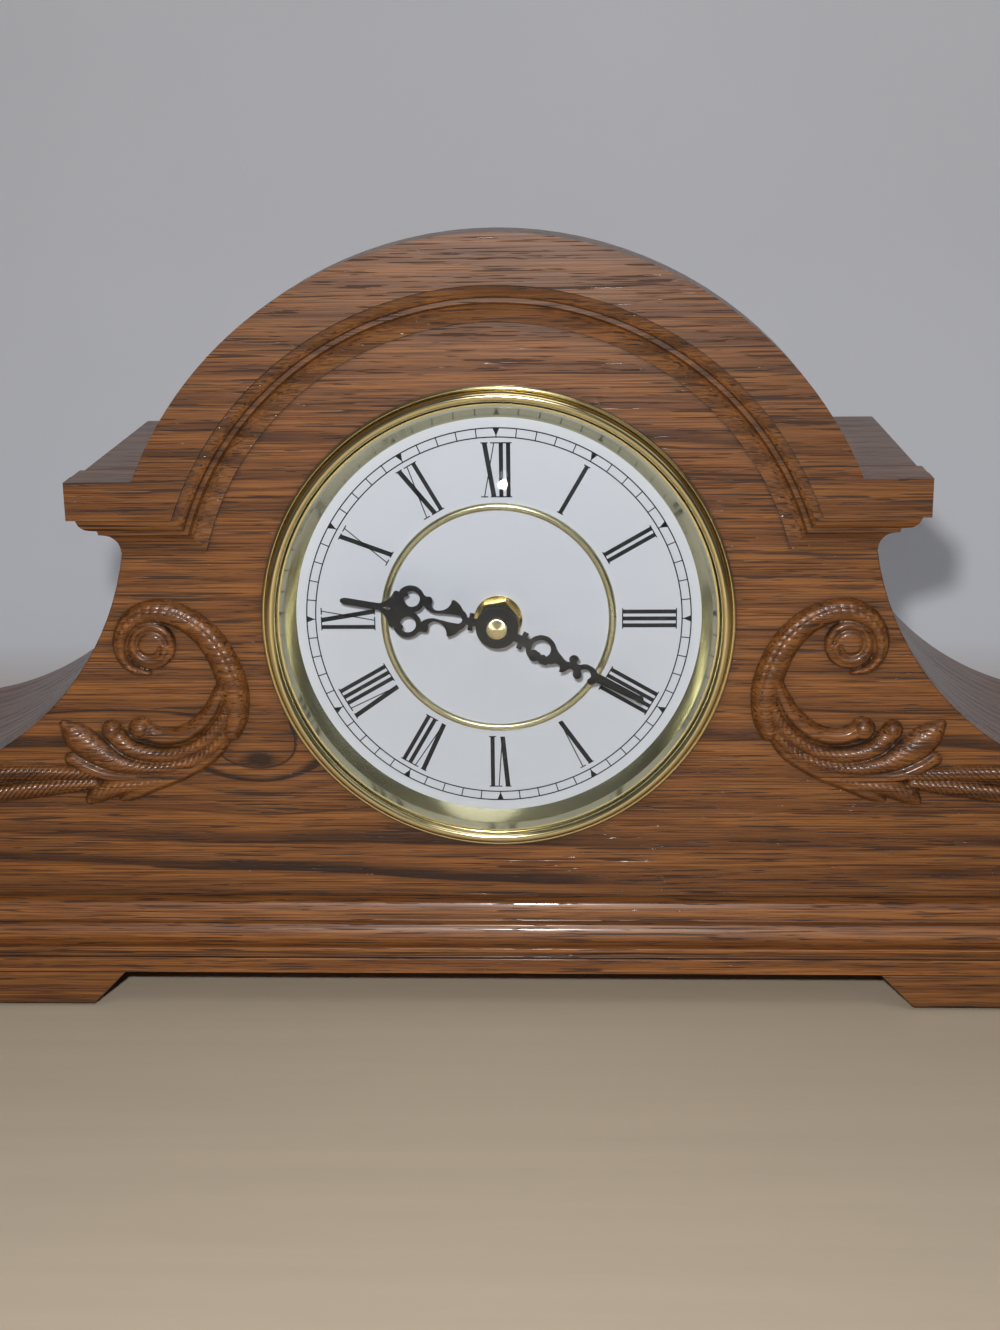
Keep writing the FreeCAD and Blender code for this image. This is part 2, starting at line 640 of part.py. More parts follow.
# Scroll carvings, raised on the panel at both sides of the dial. The shares are of the scroll's height, measured
# from the middle of its eye; a third entry is the radius of the arc that arrives at the point.
dim.add(scroll_height=67, scroll_eye_offset=116.5, scroll_eye_rise=-7.5, scroll_relief=3.2, scroll_eye_relief=4.2)
stem_shares = ((0.06, 0.23), (-0.18, -0.64, 0.452), (-0.075, -0.49), (-0.02, 0.09, -0.3))
leaf_shares = ((-0.18, -0.64), (0.11, -0.785, 0.9), (0.26, -0.765, 0.1), (0.405, -0.74, 0.09), (0.49, -0.6, 0.1),
               (0.48, -0.36, 0.13), (0.28, -0.345, 0.115), (0.08, -0.36, 0.115), (-0.075, -0.45, 0.11))
tail_shares = ((0.36, -0.79), (0.82, -0.81, 2.4), (1.1, -0.9, 1.2), (1.36, -0.93, 1.2), (1.36, -0.9),
               (1.1, -0.78, -0.7), (0.82, -0.63, -0.9), (0.36, -0.6, -1.6))
curl_shares = ((-0.03, -0.02, 0.175), (0, 0, 0.128), (0.02, -0.455, 0.105))


def scroll_point(share):
    across = dim.scroll_eye_offset + dim.scroll_height * share[0]
    up = dim.scroll_eye_rise + dim.scroll_height * share[1]
    return (across, up) + ((dim.scroll_height * share[2],) if len(share) == 3 else ())


def add_relief(body, name, height, loops=(), circles=()):
    sketch = make_sketch(body, f"{name}_outline", "XZ", loops, circles, offset=-panel_front)
    return add_feature(body, "Pad", name, sketch, height)


scroll = make_body("scroll_carving_right", z=dim.axis_height)
for part_name, shares in (("scroll_stem", stem_shares), ("scroll_leaves", leaf_shares), ("scroll_tail", tail_shares)):
    add_relief(scroll, part_name, dim.scroll_relief, [[scroll_point(share) for share in shares]])
for number, (share, height) in enumerate(zip(curl_shares, (dim.scroll_relief, dim.scroll_eye_relief,
                                                           dim.scroll_eye_relief))):
    add_relief(scroll, f"scroll_curl_{number}", height, circles=[scroll_point(share)])
nodes += [scroll, make_mirror("scroll_carving_left", scroll)]

# Bezel: a spun brass ring with a bead, a half-round rim and a two-slope throat, and a collar through the panel
dim.add(bezel_radius=78.5, bead_height=1.2, bead_width=1.5, rim_inner_radius=73.4, rim_base_height=2.2,
        rim_height=1.8, glass_seat_radius=72.2, glass_seat_height=1.8, throat_bend_radius=70.9, throat_bend_depth=0.9,
        sight_radius=67.4, dial_depth=4.8, collar_radius=72, collar_wall=0.6, throat_lip=0.6,
        glass_radius=73.1, glass_edge=1.4, glass_thickness=1.4, glass_crown=16,
        dial_radius=71.1, dial_thickness=0.8, dial_hole_radius=4.2,
        ring_inner_radius=36.6, ring_width=2.6, ring_height=0.9)
rim_outer = dim.bezel_radius - dim.bead_width
rim_foot = panel_front - dim.rim_base_height
rim_crest = rim_foot - dim.rim_height
rim_crest_radius = (rim_outer + dim.rim_inner_radius) / 2
dial_face = panel_front + dim.dial_depth
collar_inner = dim.collar_radius - dim.collar_wall
bezel_section = [(panel_front, dim.bezel_radius), (panel_front - dim.bead_height / 2, dim.bezel_radius),
                 (panel_front - dim.bead_height, (dim.bezel_radius + rim_outer) / 2),
                 (panel_front - dim.bead_height / 2, rim_outer), (rim_foot, rim_outer)]
bezel_section += quarter_chords((rim_foot, rim_outer), (rim_crest, rim_crest_radius), 2)
bezel_section += quarter_chords((rim_crest, rim_crest_radius), (rim_foot, dim.rim_inner_radius), 2, hollow=True)
bezel_section += [(panel_front - dim.glass_seat_height, dim.rim_inner_radius),
                  (panel_front - dim.glass_seat_height, dim.glass_seat_radius),
                  (panel_front + dim.throat_bend_depth, dim.throat_bend_radius), (dial_face, dim.sight_radius),
                  (dial_face, dim.sight_radius + dim.throat_lip),
                  (panel_front + 2 * dim.throat_bend_depth, collar_inner),
                  (panel_front + dim.collar_depth, collar_inner),
                  (panel_front + dim.collar_depth, dim.collar_radius), (panel_front, dim.collar_radius)]
nodes.append(make_turned("bezel", bezel_section, rise=axis))

# Domed glass, seated in the rim
glass_seat = panel_front - dim.glass_seat_height
glass_edge_front = glass_seat - dim.glass_edge
crown_front = panel_front - dim.glass_crown
crown_back = crown_front + dim.glass_thickness
outer_sag = glass_edge_front - crown_front
inner_sag = glass_seat - crown_back
dome_outer = (dim.glass_radius * dim.glass_radius + outer_sag * outer_sag) / (2 * outer_sag)
dome_inner = (dim.glass_seat_radius * dim.glass_seat_radius + inner_sag * inner_sag) / (2 * inner_sag)
glass_disc = make_rod("glass_disc", "y", (zero, crown_front, axis), glass_seat - crown_front, dim.glass_radius)
outer_ball = make_ball("glass_outer_ball", (zero, crown_front + dome_outer, axis), dome_outer)
inner_ball = make_ball("glass_inner_ball", (zero, crown_back + dome_inner, axis), dome_inner)
domed_disc = doc.addObject("Part::Common", "domed_disc")
domed_disc.Base, domed_disc.Tool = glass_disc, outer_ball
nodes.append(make_cut("glass", domed_disc, inner_ball))

# Dial plate and the raised ring on it
dial_back = dial_face + dim.dial_thickness
nodes.append(make_plate("dial_plate", dial_face, dim.dial_thickness, rise=axis,
                        circles=[(0, 0, dim.dial_radius), (0, 0, dim.dial_hole_radius)]))
ring_outer = dim.ring_inner_radius + dim.ring_width
ring_middle = dim.ring_inner_radius + dim.ring_width / 2
ring_crest = dial_face - dim.ring_height
ring_section = [(dial_face, dim.ring_inner_radius), (dial_face, ring_outer)]
ring_section += quarter_chords((dial_face, ring_outer), (ring_crest, ring_middle), 2)
ring_section += quarter_chords((ring_crest, ring_middle), (dial_face, dim.ring_inner_radius), 2, hollow=True)[:-1]
nodes.append(make_turned("dial_ring", ring_section, rise=axis))

# What clamps the movement to the dial
dim.add(washer_radius=8, washer_thickness=0.7, nut_across_flats=13, nut_thickness=3,
        rubber_thickness=1, rubber_radius=8, bushing_radius=4, bushing_bore=2.7, bushing_reach=3,
        running_gap=0.1, movement_depth=16.6,
        movement_wall=1.4, bay_divider=-16.5, battery_radius=7.1, battery_length=49.2,
        nub_radius=2.7, nub_length=1.3, contact_thickness=0.4, contact_play=0.1,
        post_across=22, post_rise=10, post_radius=1.6, board_level=9.6)
washer_front = dial_face - dim.washer_thickness
nodes.append(make_plate("brass_washer", washer_front, dim.washer_thickness, rise=axis,
                        circles=[(0, 0, dim.washer_radius), (0, 0, dim.bushing_radius + dim.running_gap)]))
flat = dim.nut_across_flats / 2
corner = flat / cosine(30)
nut_turn = 20
hexagon = [(corner * sine(nut_turn + 60 * side), corner * cosine(nut_turn + 60 * side)) for side in range(6, 0, -1)]
nodes.append(make_plate("hex_nut", washer_front - dim.nut_thickness, dim.nut_thickness, [hexagon],
                        [(0, 0, dim.bushing_radius + dim.running_gap)], rise=axis))
case_face = dial_back + dim.rubber_thickness
nodes.append(make_plate("rubber_washer", dial_back, dim.rubber_thickness, rise=axis,
                        circles=[(0, 0, dim.rubber_radius), (0, 0, dim.bushing_radius + dim.running_gap)]))
gear_floor = case_face + dim.movement_wall
bushing_front = washer_front - dim.nut_thickness - dim.bushing_reach
nodes.append(make_plate("threaded_bushing", bushing_front, gear_floor - bushing_front, rise=axis,
                        circles=[(0, 0, dim.bushing_radius), (0, 0, dim.bushing_bore)]))

# Movement case: a gear bay above and a battery bay below, both open to the back
half_width = dim.movement_width / 2
bay_half_width = half_width - dim.movement_wall
movement_back = case_face + dim.movement_depth
block = make_box("movement_block", (-half_width, case_face, axis + dim.movement_bottom),
                 (half_width, movement_back, axis + dim.movement_top))
gear_low = dim.bay_divider + dim.movement_wall
gear_high = dim.movement_top - dim.movement_wall
gear_bay = make_box("gear_bay", (-bay_half_width, gear_floor, axis + gear_low),
                    (bay_half_width, movement_back, axis + gear_high))
battery_bay = make_box("battery_bay", (-bay_half_width, gear_floor, axis + dim.movement_bottom + dim.movement_wall),
                       (bay_half_width, movement_back, axis + dim.bay_divider))
bushing_hole = make_rod("bushing_hole", "y", (zero, case_face, axis), dim.movement_wall, dim.bushing_radius)
hollow_case = make_cut("hollow_case", block, gear_bay, battery_bay, bushing_hole)
board_posts = [make_rod(f"board_post_{number}", "y", (dim.post_across, gear_floor, axis + rise), dim.board_level,
                        dim.post_radius) for number, rise in enumerate((-dim.post_rise, dim.post_rise))]
nodes.append(make_union("movement_case", hollow_case, *board_posts))

# Battery and its contacts
battery_rise = axis + (dim.bay_divider + dim.movement_bottom + dim.movement_wall) / 2
battery_middle = gear_floor + dim.battery_radius + dim.running_gap
battery_start = -(dim.battery_length + dim.nub_length) / 2
cell = make_rod("battery_cell", "x", (battery_start, battery_middle, battery_rise), dim.battery_length,
                dim.battery_radius)
nub = make_rod("battery_nub", "x", (battery_start + dim.battery_length, battery_middle, battery_rise),
               dim.nub_length, dim.nub_radius)
nodes.append(make_union("battery", cell, nub))
contact_half = dim.battery_radius / 2
contacts = []
for side in (-1, 1):
    wall = side * bay_half_width
    plate_edge = side * (bay_half_width - dim.contact_thickness)
    tip = side * (as_size(-1) * battery_start + dim.contact_play)
    low_x, high_x = (plate_edge, wall) if side > 0 else (wall, plate_edge)
    plate = make_box(f"contact_plate_{side % 3}", (low_x, battery_middle - contact_half, battery_rise - contact_half),
                     (high_x, battery_middle + contact_half, battery_rise + contact_half))
    low_tip = tip if side > 0 else plate_edge
    button = make_rod(f"contact_button_{side % 3}", "x", (low_tip, battery_middle, battery_rise),
                      side * (plate_edge - tip), dim.nub_radius)
    contacts.append(make_union(f"contact_{side % 3}", plate, button))
nodes.append(make_group("battery_contacts", *contacts))

# Gears: trapezoid teeth on a disc, cut with backlash
dim.add(motion_module=0.4, hour_module=0.384, tooth_head=0.8, tooth_foot=1.2, wheel_thickness=1.2,
        level_gap=0.7, arbor_radius=1.5, tube_radius=2.5, tube_bore=1.6, small_arbor_radius=0.6,
        cover_thickness=1.2, cover_depth=12.4, cover_play=0.1,
        train_module=0.3, knob_shaft_radius=1.2, setting_knob_radius=5, setting_knob_thickness=3)
tooth_width_shares = (0.31, 0.1)


def gear(name, teeth, module, level, thickness, across, up, phase, bore):
    # level is the depth of the front face; phase is the angle of the first tooth, clockwise from the top
    pitch = module * teeth / 2
    foot_radius = pitch - dim.tooth_foot * module
    tip_radius = pitch + dim.tooth_head * module
    space = math.pi * module
    body = make_body(name, x=across, z=axis + up)
    disc = make_sketch(body, f"{name}_disc_outline", "XZ", offset=-level, circles=[(0, 0, foot_radius), (0, 0, bore)])
    add_feature(body, "Pad", f"{name}_disc", disc, thickness, backward=True)
    wide, narrow = (space * share for share in tooth_width_shares)
    embed = dim.running_gap
    tooth_sketch = make_sketch(body, f"{name}_tooth_outline", "XZ", offset=-level, loops=[
        [(-wide, foot_radius - embed), (wide, foot_radius - embed), (narrow, tip_radius), (-narrow, tip_radius)]])
    tooth = add_feature(body, "Pad", f"{name}_tooth", tooth_sketch, thickness, backward=True)
    pattern = body.newObject("PartDesign::PolarPattern", f"{name}_teeth")
    pattern.Originals = [tooth]
    pattern.Axis = (tooth_sketch, ["N_Axis"])
    pattern.Angle = 360
    pattern.Occurrences = teeth
    body.Tip = pattern
    place = body.Placement
    body.Placement = FreeCAD.Placement(place.Base, FreeCAD.Rotation(Vector(0, 1, 0), phase))
    bind(body, "Placement.Base.x", across)
    bind(body, "Placement.Base.z", axis + up)
    return body


minute_teeth, motion_teeth, motion_leaves, hour_teeth = 12, 36, 10, 40
motion_rise = dim.motion_module * (minute_teeth + motion_teeth) / 2
hour_level = gear_floor + dim.level_gap
motion_level = hour_level + dim.wheel_thickness + dim.level_gap
centre_level = motion_level + dim.wheel_thickness + dim.level_gap
cover_front = gear_floor + dim.cover_depth
# Levels of the hands, in front of the dial
dim.add(hour_hand_lift=9.35, minute_hand_lift=11.75, hand_thickness=0.5, hub_radius=7, nut_head_radius=3.45,
        nut_head_thickness=1.8, arbor_end=0.6, minute_turn=117.6, hour_turn=279.8)
hour_hand_front = dial_face - dim.hour_hand_lift
minute_hand_front = dial_face - dim.minute_hand_lift

# Hour wheel on its tube; the tube carries the hour hand
hour_gear = gear("hour_gear", hour_teeth, dim.hour_module, hour_level, dim.wheel_thickness, zero, zero,
                 180 / hour_teeth, dim.tube_radius)
tube_back = hour_level + dim.wheel_thickness
tube = make_rod("tube_outside", "y", (zero, hour_hand_front, axis), tube_back - hour_hand_front, dim.tube_radius)
tube_hole = make_rod("tube_inside", "y", (zero, hour_hand_front, axis), tube_back - hour_hand_front, dim.tube_bore)
nodes.append(make_union("hour_wheel", hour_gear, make_cut("hour_tube", tube, tube_hole)))

# Minute arbor with its pinion; it turns inside the hour tube and carries the minute hand
minute_pinion = gear("minute_pinion", minute_teeth, dim.motion_module, motion_level, dim.wheel_thickness, zero, zero,
                     0, dim.arbor_radius)
arbor_front = minute_hand_front - dim.arbor_end
arbor = make_rod("arbor_rod", "y", (zero, arbor_front, axis), cover_front - dim.running_gap - arbor_front,
                 dim.arbor_radius)
nodes.append(make_union("minute_arbor", minute_pinion, arbor))

# Motion wheel: wheel, pinion and the shaft of the setting knob in one piece
motion_gear = gear("motion_gear", motion_teeth, dim.motion_module, motion_level, dim.wheel_thickness, zero,
                   motion_rise, 180 - 180 / motion_teeth, dim.small_arbor_radius)
motion_pinion = gear("motion_pinion", motion_leaves, dim.hour_module, hour_level,
                     dim.wheel_thickness + dim.level_gap, zero, motion_rise, 180, dim.small_arbor_radius)
motion_shaft = make_rod("motion_shaft", "y", (zero, gear_floor + dim.running_gap, axis + motion_rise),
                        movement_back - gear_floor - dim.running_gap, dim.knob_shaft_radius)
nodes.append(make_union("motion_wheel", motion_gear, motion_pinion, motion_shaft))
knob_front = movement_back - dim.wheel_thickness
knob_disc = make_rod("knob_disc", "y", (zero, knob_front, axis + motion_rise), dim.setting_knob_thickness,
                     dim.setting_knob_radius)
knob_bore = make_rod("knob_bore", "y", (zero, knob_front, axis + motion_rise), dim.wheel_thickness,
                     dim.knob_shaft_radius)
nodes.append(make_cut("setting_knob", knob_disc, knob_bore))

# Movement cover, pressed into the back of the gear bay
cover = make_box("cover_plate", (-bay_half_width, cover_front, axis + gear_low),
                 (bay_half_width, cover_front + dim.cover_thickness, axis + gear_high))
cover_hole = make_rod("cover_hole", "y", (zero, cover_front, axis + motion_rise), dim.cover_thickness,
                      dim.knob_shaft_radius + dim.cover_play)
nodes.append(make_cut("movement_cover", cover, cover_hole))

# Fast train at rest: the minute arbor slips in the centre wheel when the hands are set, so these stand still then
dim.add(train_leaf_radius=1.5, third_wheel_pitch=6.6, second_wheel_pitch=5.6,
        train_play=0.2, rotor_radius=2.6, rotor_length=5, rotor_leaf_radius=1, wheel_web=0.8,
        coil_radius=3.4, coil_length=16, coil_core_radius=1.2, stator_thickness=0.8, stator_width=8,
        board_left=7, board_right=25, board_top=13, board_bottom=-13, board_thick=1)
train_teeth = 52
centre_gear = gear("centre_gear", train_teeth, dim.train_module, centre_level, dim.wheel_web, zero, zero, 0,
                   dim.arbor_radius + dim.train_play / 2)
nodes.append(centre_gear)
centre_gear.Label = "centre_wheel"


def train_arbor(name, across, up, wheel_level, wheel_radius, leaf_level, leaf_radius):
    # a wheel and its pinion on one arbor between the case and the cover
    place = (across, gear_floor + dim.running_gap, axis + up)
    rod = make_rod(f"{name}_rod", "y", place, dim.cover_depth - 2 * dim.running_gap, dim.small_arbor_radius)
    wheel = make_rod(f"{name}_web", "y", (across, wheel_level, axis + up), dim.wheel_web, wheel_radius)
    leaves = make_rod(f"{name}_leaves", "y", (across, leaf_level, axis + up), dim.wheel_web, leaf_radius)
    return make_union(name, rod, wheel, leaves)


third_level = centre_level + dim.wheel_web + dim.level_gap
second_level = third_level + dim.wheel_web + dim.level_gap
centre_tip = (train_teeth / 2 + dim.tooth_head) * dim.train_module
third_reach = centre_tip + dim.train_leaf_radius + dim.train_play
third_turn, second_turn, rotor_turn = 84, 26, 83
third_across, third_up = -third_reach * sine(third_turn), third_reach * cosine(third_turn)
second_reach = dim.third_wheel_pitch + dim.rotor_leaf_radius + dim.train_play
second_across = third_across - second_reach * sine(second_turn)
second_up = third_up - second_reach * cosine(second_turn)
rotor_reach = dim.second_wheel_pitch + dim.rotor_leaf_radius + dim.train_play
rotor_across = second_across - rotor_reach * sine(rotor_turn)
rotor_up = second_up + rotor_reach * cosine(rotor_turn)
nodes.append(train_arbor("third_wheel", third_across, third_up, third_level, dim.third_wheel_pitch,
                         centre_level, dim.train_leaf_radius))
nodes.append(train_arbor("seconds_wheel", second_across, second_up, second_level, dim.second_wheel_pitch,
                         third_level, dim.rotor_leaf_radius))
rotor_rod = make_rod("rotor_rod", "y", (rotor_across, gear_floor + dim.running_gap, axis + rotor_up),
                     dim.cover_depth - 2 * dim.running_gap, dim.small_arbor_radius)
rotor_magnet = make_rod("rotor_magnet", "y", (rotor_across, gear_floor + dim.level_gap, axis + rotor_up),
                        dim.rotor_length, dim.rotor_radius)
rotor_leaves = make_rod("rotor_leaves", "y", (rotor_across, second_level, axis + rotor_up), dim.wheel_web,
                        dim.rotor_leaf_radius)
nodes.append(make_union("rotor", rotor_rod, rotor_magnet, rotor_leaves))

# Stator plate round the rotor, with its coil on a core beside the gears
stator_level = gear_floor + dim.level_gap + dim.rotor_length / 2
stator_half = dim.stator_width / 2
coil_low = rotor_up + stator_half
coil_middle = stator_level + dim.stator_thickness / 2


def stator_plate(name, low, high):
    return make_box(name, (rotor_across - stator_half, stator_level, axis + low),
                    (rotor_across + stator_half, stator_level + dim.stator_thickness, axis + high))


rotor_room = make_rod("rotor_room", "y", (rotor_across, stator_level, axis + rotor_up), dim.stator_thickness,
                      dim.rotor_radius + dim.fit)
lower_pole = make_cut("lower_pole", stator_plate("lower_pole_plate", rotor_up - stator_half, coil_low), rotor_room)
upper_pole = stator_plate("upper_pole", coil_low + dim.coil_length, coil_low + dim.coil_length + dim.level_gap)
core = make_rod("coil_core", "z", (rotor_across, coil_middle, axis + coil_low), dim.coil_length,
                dim.stator_thickness / 2)
nodes.append(make_union("stator", lower_pole, upper_pole, core))
winding = make_rod("winding", "z", (rotor_across, coil_middle, axis + coil_low + dim.running_gap),
                   dim.coil_length - 2 * dim.running_gap, dim.coil_radius)
winding_bore = make_rod("winding_bore", "z", (rotor_across, coil_middle, axis + coil_low), dim.coil_length,
                        dim.coil_core_radius)
nodes.append(make_cut("coil", winding, winding_bore))
nodes.append(make_box("circuit_board", (dim.board_left, gear_floor + dim.board_level, axis + dim.board_bottom),
                      (dim.board_right, gear_floor + dim.board_level + dim.board_thick, axis + dim.board_top)))

# Hands: blanked from sheet, drawn pointing up. The shares are hundredths of the hand's length, first across (to the
# right), then along it; a third entry is the radius of the arc that arrives at the point.
dim.add(hour_hand_length=52.3, minute_hand_length=54, hour_neck_half_width=1.3, minute_neck_half_width=1.4)
hundred_share = 100
hour_side_shares = [(2.5, 15.1), (5.7, 15.1), (5.7, 18.2), (2.3, 18.2), (2.3, 19.7), (6.3, 22.8, 4.6),
                    (12, 29.1, 11.5), (10.9, 30.6, 1.1), (4, 36.3, -8), (3.7, 40, -6.7), (6.3, 42.8, -5.7),
                    (9, 42.6), (11.3, 46.3, 2.4), (12.2, 48.4), (17, 56.2, 8.8), (12.8, 63.7, 8.8),
                    (11.5, 64.1), (9.9, 67.7, 2.2), (2.2, 75.3, -13.4), (2.1, 96.2), (0.6, 100, 5)]
fork_side_shares = [(2.7, 25, 2.7), (2.7, 29.8), (2, 37.1), (5.5, 47.6, -10.7)]
fork_end_shares = [(0, 53.1, -8.8), (0, 22.4, 2.7)]
hour_loop_shares = [(8.4, 50.5, 5.2), (13.6, 55.4, 5.2), (12, 59.1, 5.2), (9.6, 58.5, -1.5), (7.6, 60.4, 1.9),
                    (3.3, 56.6, 6.1)]
hour_slit_shares = [(1.1, 69.8), (0, 73), (-1.1, 69.8), (0, 67.5)]
minute_edge_shares = [(2.6, 15.6), (5.7, 15.6), (5.7, 18.9), (3, 18.9), (3, 21.2), (7.8, 25.7, 7.8),
                      (7.9, 30, 3.1), (6.9, 31.3), (7.6, 35, 2.8), (5.6, 37.8, 2.4), (5.4, 39.4), (3.7, 41.1),
                      (3.5, 44.1, -5.6), (7.2, 45.7, -4.4), (4.4, 49.4, 4.4), (2.8, 50.4), (3.1, 53.7, -2.2),
                      (5.9, 55.2, 2.6), (5.9, 58.3, 2.6), (3.5, 59.3, 2.6), (1.7, 58.3, 2.6), (0.4, 57.2),
                      (-2, 60.6, -4.4), (1.7, 64.8, -5.2), (2.6, 64.1), (5.7, 65.4, 1.9), (5, 67.6, 1.9),
                      (2.8, 69.3), (2, 95.4), (2.4, 97.4, -3), (0.6, 100, 2.6), (-0.6, 100), (-2.4, 97.4, 2.6),
                      (-2, 95.4, -3), (-2.8, 69.6), (-2.6, 67.2), (-4.8, 60.7, 8.1), (-3.1, 56.1, 5.6),
                      (-2.1, 54.1, -4.1), (-5, 53.3, -1.7), (-6.7, 50.6, 3), (-3.9, 47.6, 3),
                      (-1.5, 49.1, 2.2), (-0.7, 47.6), (-2.4, 42.8, -13), (-6.1, 36.9, -14.8), (-9.3, 30, 9.3),
                      (-3, 21.2, 9.3), (-3, 18.9), (-5.7, 18.9), (-5.7, 15.6), (-2.6, 15.6)]
minute_loop_shares = [(-0.4, 23.9, 5.9), (3, 24.8, 5.9), (2, 28.7, -2.8), (3.1, 31.3, -2), (2.4, 34.6, -2.2),
                      (-0.7, 35.7, 4.8), (-6.3, 29.8, 5.9)]


def shared(points, size):
    return [tuple(size * share / hundred_share for share in point) for point in points]


def make_hand(name, front_level, turn, neck, bore, edge, holes):
    # the hub's circle closes the edge, which runs up the right side and down the left
    hub = dim.hub_radius
    outline = [(neck, leg(hub, neck), hub)] + edge + [(-neck, leg(hub, neck)), (-hub, zero, hub), (zero, -hub, hub),
                                                      (hub, zero, hub)]
    hand = make_plate(name, front_level, dim.hand_thickness, [outline] + holes, [(zero, zero, bore)], rise=axis)
    hand.Placement = FreeCAD.Placement(Vector(), FreeCAD.Rotation(Vector(0, 1, 0), turn.value))
    nodes.append(hand)


def both_sides(right, top, foot):
    # a closed loop from its right half; top and foot are the points on the middle line
    left = mirrored(right + [top])[1:]
    return right + [top] + left + [foot]


hour_side = shared(hour_side_shares, dim.hour_hand_length)
fork_side = shared(fork_side_shares, dim.hour_hand_length)
fork_top, fork_foot = shared(fork_end_shares, dim.hour_hand_length)
hour_loop = shared(hour_loop_shares, dim.hour_hand_length)
hour_slit = shared(hour_slit_shares, dim.hour_hand_length)
loop_back = mirrored(hour_loop + hour_loop[:1])[1:]
make_hand("hour_hand", hour_hand_front, dim.hour_turn, dim.hour_neck_half_width, dim.tube_radius,
          hour_side + mirrored(hour_side), [both_sides(fork_side, fork_top, fork_foot), hour_loop, loop_back, hour_slit])
make_hand("minute_hand", minute_hand_front, dim.minute_turn, dim.minute_neck_half_width, dim.arbor_radius,
          shared(minute_edge_shares, dim.minute_hand_length), [shared(minute_loop_shares, dim.minute_hand_length)])

# Hand nut, crowned, over the end of the arbor
nut_back = minute_hand_front
nut_bore = dim.arbor_radius + dim.fit / 3
nut_front = nut_back - dim.nut_head_thickness
nut_flat = dim.nut_head_radius / 2
nut_shoulder = (nut_front + dim.nut_head_thickness / 3, dim.nut_head_radius)
nut_section = [(nut_back, nut_bore), (arbor_front - dim.running_gap, nut_bore),
               (arbor_front - dim.running_gap, zero), (nut_front, zero), (nut_front, nut_flat)]
nut_section += quarter_chords((nut_front, nut_flat), nut_shoulder, 2, hollow=True) + [(nut_back, dim.nut_head_radius)]
nodes.append(make_turned("hand_nut", nut_section, rise=axis))

doc.recompute()
failed = [item.Name for item in doc.Objects if "Invalid" in item.State or "Error" in item.State]
if failed:
    raise RuntimeError(f"objects that failed: {failed}")
os.makedirs("parts", exist_ok=True)
for node in nodes:
    shape = node.Shape
    if shape.isNull() or not shape.isValid() or not shape.Solids:
        raise RuntimeError(f"{node.Label} has no valid solid")
for node in nodes:
    node.Shape.exportStep(f"parts/{node.Label}.step")
print(f"{len(nodes)} nodes")
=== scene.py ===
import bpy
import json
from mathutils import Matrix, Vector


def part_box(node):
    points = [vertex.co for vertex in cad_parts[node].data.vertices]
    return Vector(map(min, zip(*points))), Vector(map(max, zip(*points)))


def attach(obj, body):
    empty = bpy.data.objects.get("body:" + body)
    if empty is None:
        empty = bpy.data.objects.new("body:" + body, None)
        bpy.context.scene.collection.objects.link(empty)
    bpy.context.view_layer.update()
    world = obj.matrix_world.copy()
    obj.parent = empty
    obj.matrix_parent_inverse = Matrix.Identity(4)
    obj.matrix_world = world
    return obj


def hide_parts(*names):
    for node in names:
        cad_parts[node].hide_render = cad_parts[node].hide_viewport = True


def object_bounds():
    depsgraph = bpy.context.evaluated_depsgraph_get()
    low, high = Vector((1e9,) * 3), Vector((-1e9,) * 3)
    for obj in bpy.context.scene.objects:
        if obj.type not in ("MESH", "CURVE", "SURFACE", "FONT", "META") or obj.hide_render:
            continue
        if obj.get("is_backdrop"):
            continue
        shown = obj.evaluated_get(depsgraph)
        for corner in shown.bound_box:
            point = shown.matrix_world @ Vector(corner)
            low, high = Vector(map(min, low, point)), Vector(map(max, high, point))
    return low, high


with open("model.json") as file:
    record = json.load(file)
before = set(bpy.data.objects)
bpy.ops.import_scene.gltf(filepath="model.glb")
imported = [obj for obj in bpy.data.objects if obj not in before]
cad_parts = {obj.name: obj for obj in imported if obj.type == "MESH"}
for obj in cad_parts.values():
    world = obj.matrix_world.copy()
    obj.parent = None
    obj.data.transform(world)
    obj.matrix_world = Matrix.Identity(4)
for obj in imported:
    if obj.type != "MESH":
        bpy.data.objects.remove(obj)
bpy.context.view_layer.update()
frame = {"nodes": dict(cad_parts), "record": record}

import bmesh
import bpy
import json
import math
from mathutils import Matrix, Vector

mm = 0.001
joinGap = 1e-6
pointRadius = 1e-7
scene = bpy.context.scene
nodeOf = frame["nodes"]
print("frame loaded:", len(nodeOf), "nodes")


def middle(name):
    low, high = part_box(name)
    return (low + high) / 2


# Levels that the pieces share, all read from the frame
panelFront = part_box("front_panel")[0].y
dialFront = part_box("dial_plate")[0].y
dialAxis = middle("dial_plate").z

# Camera, at the place that the dial and the ledge give it; angles in degrees, lens and sensor in millimetres
cameraPlace = {"spot": (0.02575, -0.67064, 0.30174), "pitch": 16.45, "yaw": -2.319, "roll": 0.737,
               "lens": 52.83, "sensor": 36, "near": 0.01}


